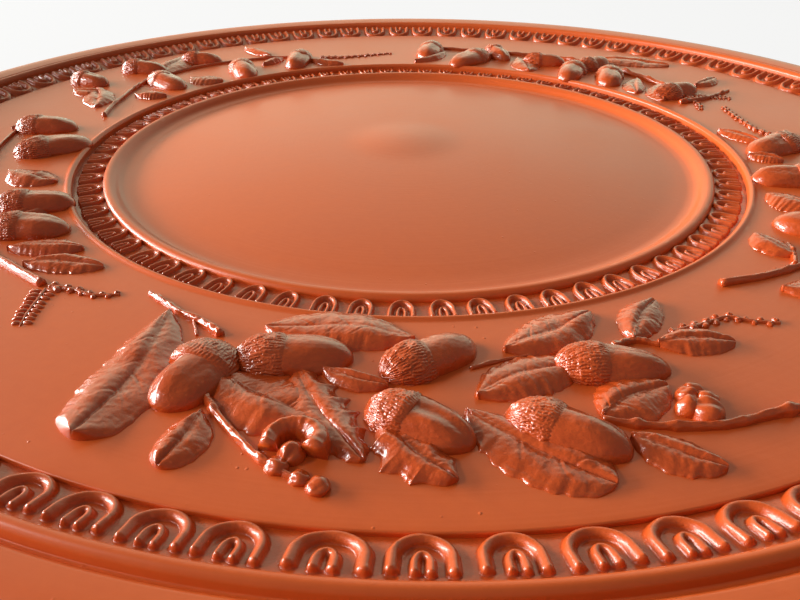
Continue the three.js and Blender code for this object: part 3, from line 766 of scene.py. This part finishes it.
def leaf_loops(base, tip, width, seed, bend=0.05, veins=4, points=0, blunt=0.25, curl=0.0):
    """A leaf: a thin midrib in a valley, two soft pillows with side veins, and rounded edges.

    points gives a holly-like edge of that many points a side; blunt fills the tip out, and curl
    lifts it by that many millimetres.
    """
    draw = np.random.RandomState(seed)
    base = np.array(base)
    tip = np.array(tip)
    length = np.linalg.norm(tip - base)
    chord = (tip - base) / length
    side = np.array([-chord[1], chord[0]])
    middle_point = (base + tip) / 2 + side * bend * length * draw.choice([-1, 1])
    path, along, length = smooth_path([base, middle_point, tip], LEAF_ROWS)
    normal = np.stack([-along[:, 1], along[:, 0]], -1)
    u = np.linspace(0, 1, LEAF_ROWS)[:, None]
    v = np.linspace(-1, 1, 2 * LEAF_HALF_COLUMNS + 1)[None, :]
    v = np.sign(v) * np.abs(v) ** 1.25
    a = np.abs(v)

    phase = np.where(v < 0, draw.uniform(), draw.uniform())
    belly = np.sin(np.pi * (u * (1 - 0.15 * blunt)) ** (0.9 + 0.2 * blunt)) ** (0.75 - 0.15 * blunt)
    belly = belly * np.sqrt(np.clip(1 - (np.clip(u - 0.9, 0, 1) / 0.102) ** 2, 0, 1)) ** (0.3 + 0.9 * blunt)
    if points:
        cusp = np.abs(np.sin(np.pi * (u * points + phase)))
        edge_line = 1.1 - 0.3 * cusp ** 0.7
    else:
        edge_line = 1.0
    edge_line = edge_line + 0.05 * wander(u, seed + 5) + 0.03 * np.sign(v) * wander(u, seed + 9)
    edge_line = edge_line + 0.035 * value_noise(u * length * 1.1, np.sign(v) * 5.0 + 0 * u, seed + 7)
    stalk = 0.15 + 0.5 * np.clip(1 - u * 6, 0, 1)
    half = np.maximum(width / 2 * belly * edge_line, stalk)
    across = v * half
    x = path[:, 0][:, None] + normal[:, 0][:, None] * across
    y = path[:, 1][:, None] + normal[:, 1][:, None] * across

    crown = np.sin(np.pi * np.clip(u * 0.9 + 0.06, 0, 1)) ** 0.5
    high = 0.86 + 0.14 * np.tanh(across / 0.5) * draw.choice([-1, 1])
    pillow = np.sin(np.pi * a ** 0.75) ** 1.1 * (1 + 0.3 * wander(u, seed + 2, (1, 2, 3)))
    valley = 0.14 * bell(across, 0.6)
    midrib = 0.42 * bell(across, 0.3) * (1 - u)
    crease = -0.3 * bell(across, 0.3) * u
    lines = 0
    for k in range(veins):
        for sign in (-1, 1):
            start = (k + 0.3 + 0.3 * draw.uniform(-1, 1) + 0.2 * sign) / veins * 0.84
            away = (u - start - 0.22 * a ** 1.3) * length
            mask = (np.sign(v) == sign) * np.clip(1.1 - a, 0, 1) * draw.uniform(0.0, 1.0)
            lines = lines + (0.12 * bell(away - 0.45, 0.4) - 0.22 * bell(away, 0.35)) * mask
    sway = 0.5 * value_noise(x / 6.5, y / 6.5, seed + 1) + 0.12 * value_noise(x / 2.8, y / 2.8, seed + 4)
    calm = min(1, (width / 14) ** 2)
    grain = 0.05 * value_noise(x / 0.6, y / 0.6, seed) + 0.06 * value_noise(x / 1.3, y / 1.3, seed + 8)
    lifted = curl * np.clip((u - 0.8) / 0.2, 0, 1) ** 1.5
    roll = (1 - a ** 9) ** 0.5
    brim = 0.22 * bell(a - 0.92, 0.05) * (0.8 + 0.8 * wander(u, seed + 6)) * crown
    z = 0.15 + ((1 - a ** 2.0) * 1.5 + 0.55 * pillow) * high
    z = z + (sway + lines) * calm * (1.0 - a ** 2)
    z = (np.clip(z, LEAF_EDGE_TOP, LEAF_TOP) - valley) * roll * (0.35 + 0.65 * crown)
    z = z + (midrib + crease + lifted + grain) * (1 - a ** 5) + brim * roll + LEAF_EDGE_TOP
    loop = skirted(x, y, FLOOR_Z + z)
    for edge, sign in ((0, -1), (-1, 1)):
        loop[:, edge, :2] += normal * sign * LEAF_EDGE_TOP
    return loop


def stalk_loops(points, width, height, seed, taper=0.4, knots=True, rough=1.0):
    """A stem or twig of round section with fibres along it and knots where twigs leave it."""
    draw = np.random.RandomState(seed)
    path, along, length = smooth_path(points, STALK_ROWS)
    normal = np.stack([-along[:, 1], along[:, 0]], -1)
    u = np.linspace(0, 1, STALK_ROWS)[:, None]
    phi = np.linspace(np.pi, 0, STALK_COLUMNS)[None, :]
    thick = (1 - taper * u) * (1 + 0.1 * rough * wander(u, seed))
    if knots:
        for k in range(max(1, int(length / 14))):
            thick = thick + 0.28 * bell((u - draw.uniform(0.05, 0.95)) * length, 1.3)
    fibre = 1 + 0.07 * value_noise(phi * 3 + 0 * u, u * length / 5 + 0 * phi, seed)
    fibre = fibre + 0.09 * rough * value_noise(phi * 2.5 + 0 * u, u * length / 0.9 + 0 * phi, seed + 1)
    half = width / 2 * thick * fibre
    across = np.cos(phi) * half
    z = FLOOR_Z + np.sin(phi) ** 0.9 * height * thick * fibre
    x = path[:, 0][:, None] + normal[:, 0][:, None] * across
    y = path[:, 1][:, None] + normal[:, 1][:, None] * across
    return skirted(x, y, z)


def dome_loops(middle, heading, length, half_width, height, relief):
    """A rounded body lying along heading. half_width(u) and relief(u, phi, half) shape it."""
    u = np.linspace(0, 1, DOME_ROWS)[:, None]
    phi = np.linspace(np.pi * 1.06, -np.pi * 0.06, DOME_COLUMNS)[None, :]
    half = half_width(u)
    bulge = relief(u, phi, half)
    across = np.cos(phi) * (half + bulge)
    up = np.sin(phi) * (half + bulge) * height
    side = np.array([-heading[1], heading[0]])
    start = middle - heading * length / 2
    x = start[0] + heading[0] * u * length + side[0] * across
    y = start[1] + heading[1] * u * length + side[1] * across
    return skirted(x, y, np.maximum(FLOOR_Z + up, FLOOR_Z - SUNK))


def acorn_loops(middle, heading, seed, size=1.0, bulges=0.0, point=0.0, squat=1.0, flank=0.0):
    """The smooth nut and its cup, covered in fine pointed scales that lie towards the rim.

    bulges sinks a furrow along the nut, point sharpens its end, squat shortens the acorn and flank
    flattens its side.
    """
    draw = np.random.RandomState(seed)
    acorn_length = ACORN_LENGTH * size * squat
    cup_length = CUP_SHARE * acorn_length
    nut_length = acorn_length - cup_length * CUP_OVERLAP
    cup_half = CUP_WIDTH * size / 2 - CUP_INSET
    nut_half = NUT_WIDTH * size / 2
    height = ACORN_HEIGHT / (cup_half + SCALE_REACH)
    dent_turn = np.pi * draw.uniform(0.3, 0.62)

    def cup_width(u):
        bowl = np.clip(1 - (1 - np.clip(u * 1.1, 0, 1)) ** 2.4, 0.02, 1) ** 0.55
        rim = np.sqrt(np.clip(1 - (np.clip(u - 0.7, 0, 1) / 0.33) ** 2, 0.1, 1))
        return cup_half * bowl * (0.84 + 0.16 * rim)

    def cup_relief(u, phi, half):
        row = u * 5 + 0.25 * value_noise(u * 3 + 0 * phi, phi * 4, seed)
        turn = phi / np.pi * 24 + 0.3 * value_noise(u * 5, phi * 5, seed + 3)
        scales = 0
        for half_step in (0.0, 0.5):
            ring = np.floor(row + half_step)
            within = row + half_step - ring
            place = turn + 0.5 * (ring % 2) + half_step
            across = np.abs((place % 1.0) - 0.5) * 2
            proud = 0.7 + 0.3 * np.sin(np.floor(place) * 17 + ring * 29 + 40 * half_step)
            tip = np.clip((1.0 - within ** 2 - across) * 2.0, 0, 1)
            scales = np.maximum(scales, tip * (0.45 + 0.55 * within) * proud)
        hairs = 1 - np.abs((turn * 2.2) % 2.0 - 1)
        rough = 0.8 * value_noise(u * 6, phi * 3, seed + 1)
        rough = rough + 0.4 * value_noise(u * 30, phi * 22, seed + 2)
        fade = np.clip((1 - u) * 7, 0, 1) ** 0.7
        return (0.62 * scales * (1.15 - 0.8 * u) + 0.16 * hairs * u + 0.18 * rough) * fade

    def nut_width(u):
        t = np.clip((u - 0.25) / 0.75, 0, 1)
        shoulder = np.clip(1 - t ** (3.3 - point), 0, 1) ** (0.56 + 0.1 * point)
        inside = np.sqrt(np.clip(1 - (np.clip(0.3 - u, 0, 1) / 0.31) ** 2, 0, 1))
        return nut_half * 1.03 * np.maximum(shoulder, 0.03) * inside + 0.25 * bell(u - 1.0, 0.03)

    def nut_relief(u, phi, half):
        dent = -0.55 * bell(phi - dent_turn, 0.35) * np.sin(np.pi * u)
        soft = 0.3 * value_noise(u * 3.5, phi * 1.6, seed + 4)
        soft = soft + 0.05 * value_noise(u * 16, phi * 7, seed + 5)
        facing = np.clip(np.cos(phi - np.pi * 0.8), 0.5, 1)
        soft = soft - flank * half * np.clip(1 - 0.84 / facing, 0, 1)
        furrow = -bulges * bell(phi - np.pi * 0.5 - 0.4 * (u - 0.5), 0.3) * np.sin(np.pi * u) ** 0.7
        return (dent + soft + furrow) * np.clip((1 - u) * 6, 0, 1) * np.clip(u * 3, 0, 1)

    nut_middle = middle + heading * (acorn_length - nut_length) / 2
    cup_middle = middle - heading * (acorn_length - cup_length) / 2
    nut = dome_loops(nut_middle, heading, nut_length, nut_width, height, nut_relief)
    cup = dome_loops(cup_middle, heading, cup_length, cup_width, height, cup_relief)
    return [nut, cup]


def bead_loops(middle, size, height, seed):
    """A round bead, a little uneven."""
    heading = np.array([math.cos(seed), math.sin(seed)])

    def width(u):
        return size / 2 * np.maximum(np.sqrt(np.clip(1 - (2 * u - 1) ** 2, 0, 1)), 0.04)

    def relief(u, phi, half):
        return 0.08 * size * value_noise(u * 3, phi * 2, seed)

    loops = dome_loops(middle, heading, size, width, height, relief)
    return loops[::BEAD_SKIP[0], ::BEAD_SKIP[1]]


def catkin_loops(points, width, seed):
    """A thin thread with small beads to its left and right."""
    draw = np.random.RandomState(seed)
    loops = [stalk_loops(points, width * 0.45, width * 0.3, seed, taper=0.5, knots=False)]
    path, along, length = smooth_path(points, PATH_STEPS)
    count = int(length / CATKIN_PITCH)
    for k in range(count):
        at = int((k + 0.5) / count * (PATH_STEPS - 1))
        sign = -1 if k % 2 else 1
        side = np.array([-along[at][1], along[at][0]])
        size = width * (0.62 - 0.2 * k / count) * draw.uniform(0.85, 1.2)
        middle = path[at] + side * sign * width * 0.24 * draw.uniform(0.6, 1.3)
        loops.append(bead_loops(middle, size, CATKIN_BEAD_HEIGHT, seed * 31 + k))
    return loops


def fern_loops(points, width, seed):
    """A feathery catkin: narrow grains in pairs along a thread."""
    draw = np.random.RandomState(seed)
    loops = [stalk_loops(points, 0.9, 0.6, seed, knots=False)]
    path, along, length = smooth_path(points, PATH_STEPS)
    rows = int(length / FERN_PITCH)
    for k in range(rows):
        at = int((k + 0.5) / rows * (PATH_STEPS - 1))
        side = np.array([-along[at][1], along[at][0]])
        for sign in (-1, 1):
            reach = width / 2 * (1.05 - 0.35 * k / rows) * draw.uniform(0.85, 1.1)
            middle = path[at] + side * sign * reach * 0.55 + along[at] * draw.uniform(-0.2, 0.2)
            heading = side * sign + along[at] * 0.25
            heading = heading / np.linalg.norm(heading)
            number = seed * 17 + 2 * k + (sign > 0)
            loops.append(grain_loops(middle, heading, reach * 0.95, GRAIN_WIDTH, number))
    return loops


def grain_loops(middle, heading, length, width, seed):
    """A narrow rounded grain along heading."""
    def half(u):
        return width / 2 * np.maximum(np.sqrt(np.clip(1 - (2 * u - 1) ** 2, 0, 1)), 0.05)

    def relief(u, phi, half):
        return 0.05 * value_noise(u * 3, phi * 2, seed)

    loops = dome_loops(middle, heading, length, half, BEAD_HEIGHT, relief)
    return loops[::GRAIN_SKIP[0], ::GRAIN_SKIP[1]]


def bud_loops(middle, heading, seed):
    """A cleft bud: four small lumps round one large one, as (along, across, size, height)."""
    side = np.array([-heading[1], heading[0]])
    lumps = (
        (-3.9, 2.0, 4.2, 1.0), (-2.6, -0.4, 4.6, 1.15), (-0.4, 2.3, 4.4, 1.25),
        (0.3, -2.2, 4.8, 1.2), (2.6, 0.2, 6.4, 1.05),
    )
    loops = []
    for number, (along, across, size, height) in enumerate(lumps):
        spot = middle + heading * along + side * across
        loops.append(bead_loops(spot, size, height, seed * 7 + number))
    return loops


def gall_loops(middle, heading, seed):
    """A thick hood bent round the back of a ball."""
    turn = math.atan2(heading[1], heading[0])

    def bow(reach, first, last):
        return [middle + reach * np.array([math.cos(turn + a), math.sin(turn + a)])
                for a in np.radians(np.linspace(first, last, HOOD_POINTS))]

    hood = bow(HOOD_REACH, *HOOD_BEND)
    ball = middle - heading * BALL_BACK
    return [
        stalk_loops(hood, HOOD_WIDTH, HOOD_HEIGHT, seed, taper=0.25, knots=False, rough=0.3),
        bead_loops(ball, GALL_BALL, BEAD_HEIGHT, seed + 3),
    ]


def add_loops(name, loops, *nodes):
    """One piece out of closed loops that may overlap."""
    builder = Builder()
    for loop in loops:
        builder.loops(loop)
    finish_piece(builder.object(name), RELIEF_SLIP, "relief_slip", *nodes)


def make_sprig(sprig, pieces, extras):
    """The pieces that the CAD has too, and the extra ones that only the scene has."""
    first_seed = int(sprig.azimuth) * SEEDS_A_DEGREE
    for number, (name, form) in enumerate(pieces.items()):
        loops = [loop for part in form for loop in part(sprig, first_seed + number)]
        add_loops(f"{sprig.name}_{name}_relief", loops, f"{sprig.name}_{name}")
    for number, form in enumerate(extras):
        loops = form(sprig, first_seed + EXTRA_SEEDS + number)
        add_loops(f"{sprig.name}_extra_{number + 1}", loops)


# Forms for the lists of pieces: each gives a function of a sprig and a seed

def acorn(at, heading, size=1.0, **shape):
    return lambda sprig, seed: acorn_loops(sprig.spot(at), sprig.heading(heading), seed, size, **shape)


def leaf(start, end, width, **shape):
    return lambda sprig, seed: [leaf_loops(sprig.spot(start), sprig.spot(end), width, seed, **shape)]


def stalk(through, width, height):
    return lambda sprig, seed: [stalk_loops([sprig.spot(p) for p in through], width, height, seed)]


def stem(*through, width=STEM_WIDTH):
    return stalk(through, width, width * STEM_FLATNESS)


def twig(*through):
    return stalk(through, TWIG_WIDTH, TWIG_HEIGHT)


def thread(*through):
    return stalk(through, THREAD_WIDTH, THREAD_HEIGHT)


def beads(size, *places, height):
    return lambda sprig, seed: [
        bead_loops(sprig.spot(p), size, height, seed * 13 + k) for k, p in enumerate(places)]


def catkin(*through):
    return lambda sprig, seed: catkin_loops([sprig.spot(p) for p in through], CATKIN_WIDTH, seed)


def fern(*through):
    return lambda sprig, seed: fern_loops([sprig.spot(p) for p in through], FERN_WIDTH, seed)


def bud(at, heading):
    return lambda sprig, seed: bud_loops(sprig.spot(at), sprig.heading(heading), seed)


def gall(at, heading):
    return lambda sprig, seed: gall_loops(sprig.spot(at), sprig.heading(heading), seed)


FRONT_PIECES = {
    "acorn_1": [acorn((-17.1, 0.47), -22, 1.26, squat=0.78, flank=1.0)],
    "acorn_2": [acorn((-9.9, 0.285), 94, 1.07)],
    "acorn_3": [acorn((2.6, 0.25), 122, 0.97)],
    "acorn_4": [
        acorn((1.4, 0.585), 62, bulges=0.5, squat=0.95),
        leaf((-1.5, 0.59), (3.4, 0.82), MIDDLE_LEAF, points=4),
    ],
    "acorn_5": [acorn((11.4, 0.66), 64)],
    "acorn_6": [acorn((18.3, 0.385), 88, point=0.5), leaf((6, 0.455), (16.2, 0.34), MIDDLE_LEAF)],
    "bud": [bud((21.7, 0.64), 20)],
    "gall": [gall((-6.9, 0.715), 172)],
    "stem": [
        stem((30.5, 0.8), (26, 0.76), (21.7, 0.74), (17.4, 0.68), (14.4, 0.62)),
        leaf((14.6, 0.6), (21.1, 0.53), MIDDLE_LEAF),
    ],
    "left_twig": [twig((-18.2, 0.22), (-20.6, 0.18), (-23, 0.16), (-25.5, 0.14), (-30.3, 0.1))],
    "catkin": [catkin((26.8, 0.28), (30.5, 0.29), (33.7, 0.3), (35, 0.36), (37, 0.43))],
    "lower_twig": [
        twig((-14.8, 0.56), (-13, 0.63), (-11, 0.7), (-9, 0.77), (-7.5, 0.81), (-5.6, 0.85)),
        leaf((-15.4, 0.44), (-5.3, 0.58), LARGE_LEAF),
        beads(4.4, (-7.5, 0.8), (-4.7, 0.86), height=0.85),
        beads(3.8, (-5.9, 0.835), height=0.8),
    ],
    "left_leaf": [leaf((-25.4, 0.17), (-20.9, 0.86), BLUNT_LEAF, blunt=1.0, curl=1.2)],
    "small_leaf": [leaf((-14.3, 0.63), (-14.5, 0.88), SMALL_LEAF, veins=2, blunt=0.5)],
    "upper_leaf": [leaf((1.4, 0.13), (-14.4, 0.13), BROAD_LEAF)],
    "middle_leaf": [leaf((-9.1, 0.34), (-2.3, 0.75), MIDDLE_LEAF, points=6)],
    "ridge_leaf": [leaf((9.9, 0.215), (21.4, 0.06), MIDDLE_LEAF)],
    "right_leaf": [
        twig((19.8, 0.29), (22.5, 0.27), (24.6, 0.33)),
        leaf((24.2, 0.32), (30.6, 0.43), SMALL_LEAF, veins=4),
        leaf((22.5, 0.27), (29.6, 0.09), SMALL_LEAF, veins=4),
    ],
    "lower_leaf": [leaf((4.9, 0.53), (12.6, 0.88), BROAD_LEAF, blunt=0.6)],
    "end_leaf": [leaf((15.4, 0.71), (19.5, 0.9), SMALL_LEAF, veins=4)],
}
FRONT_EXTRAS = [
    thread((6.2, 0.3), (10.1, 0.26), (14.8, 0.25)),
    thread((-22.3, 0.17), (-20.4, 0.25)),
    leaf((-6.9, 0.34), (-1, 0.4), TINY_LEAF, veins=3),
]

LEFT_PIECES = {
    "acorn_1": [acorn((12.8, 0.2), 160)],
    "acorn_2": [acorn((5, 0.14), 168)],
    "acorn_3": [acorn((-18.5, 0.16), 187, LARGE_ACORN)],
    "stem": [
        stem((27.6, 0.32), (19.4, 0.37), (11, 0.44), (0, 0.5), (-12, 0.48), (-22, 0.5), (-27.5, 0.53)),
        acorn((-28, 0.36), 159),
    ],
    "catkin": [
        catkin((28.6, 0.31), (31.2, 0.26), (33.5, 0.24), (36, 0.17)),
        fern((28.6, 0.33), (30, 0.39), (31.4, 0.46), (33, 0.53)),
    ],
    "leaf_1": [leaf((21.8, 0.31), (29, 0.08), SMALL_LEAF)],
    "leaf_2": [leaf((16.8, 0.32), (22.6, 0.06), SMALL_LEAF)],
    "leaf_3": [leaf((3, 0.6), (15, 0.84), BROAD_LEAF)],
    "leaf_4": [leaf((-9, 0.3), (-3.5, 0.04), MIDDLE_LEAF)],
}

RIGHT_PIECES = {
    "acorn_1": [acorn((-14.6, 0.28), 170)],
    "acorn_2": [acorn((1.8, 0.17), 195)],
    "acorn_3": [acorn((15, 0.22), 225)],
    "stem": [
        stem((-36, 0.14), (-31.3, 0.21), (-25.9, 0.28), (-16, 0.44), (-4, 0.5), (8, 0.46), (19, 0.36),
             width=SLIM_STEM),
    ],
    "catkin": [catkin((20.6, 0.3), (25.2, 0.27), (30, 0.29), (36, 0.35))],
    "leaf_1": [leaf((-32, 0.31), (-24, 0.6), MIDDLE_LEAF)],
    "leaf_2": [leaf((-23.6, 0.24), (-20.6, 0.05), SMALL_LEAF)],
    "leaf_3": [leaf((-12, 0.58), (-1, 0.86), BROAD_LEAF)],
    "leaf_4": [leaf((-9.4, 0.26), (-5.6, 0.04), MIDDLE_LEAF)],
}

LEFT_EXTRAS = [
    leaf((-26.7, 0.56), (-32.3, 0.37), SMALL_LEAF),
    leaf((9.5, 0.36), (6.9, 0.05), THIN_LEAF, veins=3),
]
RIGHT_EXTRAS = [
    leaf((23.7, 0.03), (17.1, 0.18), THIN_LEAF, veins=3),
    leaf((12.6, 0.21), (22.3, 0.42), SMALL_LEAF),
    leaf((11, 0.03), (9.3, 0.2), TINY_LEAF, veins=3),
    twig((-25.9, 0.27), (-23.5, 0.24), (-20.6, 0.19)),
]
BACK_LEFT_EXTRAS = [
    acorn((-21.7, 0.77), 152, SMALL_ACORN),
    acorn((-11.7, 0.72), 138, MIDDLE_ACORN),
    acorn((-1.3, 0.64), 129, SMALL_ACORN),
    leaf((9, 0.82), (11.3, 0.5), SLIM_LEAF, veins=3),
    leaf((7.4, 0.26), (12.8, 0.36), THIN_LEAF, veins=3),
    leaf((-26.5, 0.7), (-25.2, 0.48), SLIM_LEAF, veins=3),
    leaf((17.9, 0.24), (24.3, 0.05), SLIM_LEAF, veins=3),
]
BACK_RIGHT_EXTRAS = [
    acorn((-13.8, 0.38), 125, SMALL_ACORN),
    acorn((-3.3, 0.3), 62, SMALL_ACORN),
    acorn((5.7, 0.42), 20, SMALL_ACORN),
    acorn((26.9, 0.27), 25, MIDDLE_ACORN),
    leaf((-30.8, 0.06), (-24.7, 0.36), SLIM_LEAF, veins=3),
    leaf((25.4, 0.52), (24.1, 0.8), THIN_LEAF, veins=3),
    twig((31.5, 0.15), (31.5, 0.36), (29.7, 0.64)),
]


# Stage, lights and camera

def make_stage():
    """A pale table that the camera sees nearly white without its lighting the plate more."""
    bpy.ops.mesh.primitive_plane_add(size=TABLE_SIZE, location=(0, 0, 0))
    floor = bpy.context.object
    floor.name = "table_top"
    material = bpy.data.materials.new("pale_table")
    material.use_nodes = True
    tree = material.node_tree
    shader = tree.nodes["Principled BSDF"]
    shader.inputs["Base Color"].default_value = srgb(0.96, 0.96, 0.95)
    shader.inputs["Roughness"].default_value = 0.6
    white = node(tree, "ShaderNodeEmission", Strength=TABLE_SEEN)
    ray = tree.nodes.new("ShaderNodeLightPath")
    seen = maths(tree, "MULTIPLY", ray.outputs["Is Camera Ray"], TABLE_SEEN_SHARE)
    shown = tree.nodes.new("ShaderNodeMixShader")
    for socket, value in zip(shown.inputs, (seen, shader.outputs[0], white.outputs[0])):
        feed(tree, socket, value)
    feed(tree, tree.nodes["Material Output"].inputs["Surface"], shown.outputs[0])
    floor.data.materials.append(material)


def area_light(name, place, target, size, watts):
    """A rectangular light at place that faces target."""
    data = bpy.data.lights.new(name, "AREA")
    data.shape = "RECTANGLE"
    data.size, data.size_y = size
    data.energy = watts
    data.color = LAMP_COLOUR
    lamp = bpy.data.objects.new(name, data)
    lamp.location = place
    lamp.rotation_euler = (Vector(target) - Vector(place)).to_track_quat("-Z", "Y").to_euler()
    bpy.context.scene.collection.objects.link(lamp)


def make_lights():
    """A wide low window on the left, a lamp, and a pale room whose far wall the slip mirrors."""
    area_light("window", place=(-2.43, 0.5, 0.54), target=(0, 0, 0.02), size=(2.3, 0.5), watts=134)
    area_light("lamp", place=(-1.75, -0.35, 1.2), target=(0, -0.05, 0.02), size=(0.3, 0.25), watts=13)
    world = bpy.data.worlds.new("studio")
    bpy.context.scene.world = world
    world.use_nodes = True
    tree = world.node_tree
    ray = tree.nodes.new("ShaderNodeLightPath")
    mirrored = ray.outputs["Is Glossy Ray"]
    tint = tree.nodes.new("ShaderNodeMix")
    tint.data_type = "RGBA"
    for number, value in ((0, mirrored), (6, ROOM_COLOUR), (7, MIRRORED_COLOUR)):
        feed(tree, tint.inputs[number], value)
    way = tree.nodes.new("ShaderNodeTexCoord").outputs["Generated"]
    back = node(tree, "ShaderNodeSeparateXYZ", Vector=way).outputs["Y"]
    wall = map_range(tree, back, *FAR_WALL, MIRRORED_NEAR, MIRRORED_FAR)
    shown = map_range(tree, mirrored, 0.0, 1.0, ROOM_LIGHT, wall)
    shown = map_range(tree, ray.outputs["Is Camera Ray"], 0.0, 1.0, shown, ROOM_SEEN)
    background = tree.nodes["Background"]
    feed(tree, background.inputs["Color"], tint.outputs[2])
    feed(tree, background.inputs["Strength"], shown)


def make_camera():
    data = bpy.data.cameras.new("camera")
    data.sensor_width = 36
    data.lens = CAMERA_LENS
    data.shift_x, data.shift_y = CAMERA_SHIFT
    data.clip_start = 0.01
    camera = bpy.data.objects.new("camera", data)
    forward = Vector(CAMERA_FORWARD).normalized()
    right = Vector(CAMERA_RIGHT)
    up = right.cross(forward).normalized()
    right = forward.cross(up).normalized()
    turn = Matrix((right, up, -forward)).transposed()
    camera.matrix_world = Matrix.Translation(Vector(CAMERA_PLACE) * MM) @ turn.to_4x4()
    bpy.context.scene.collection.objects.link(camera)
    bpy.context.scene.camera = camera


make_camera()
make_body()
make_foot()
make_band(OUTER_OVOLO, OUTER_BAND_SEED)
make_band(INNER_OVOLO, INNER_BAND_SEED)
make_sprig(Sprig("front", 270), FRONT_PIECES, FRONT_EXTRAS)
make_sprig(Sprig("left", 201), LEFT_PIECES, LEFT_EXTRAS)
make_sprig(Sprig("back_left", 129, flip=True), RIGHT_PIECES, BACK_LEFT_EXTRAS)
make_sprig(Sprig("back_right", 57, flip=True), LEFT_PIECES, BACK_RIGHT_EXTRAS)
make_sprig(Sprig("right", 345), RIGHT_PIECES, RIGHT_EXTRAS)
make_stage()
make_lights()
bpy.context.scene.view_settings.view_transform = "Standard"
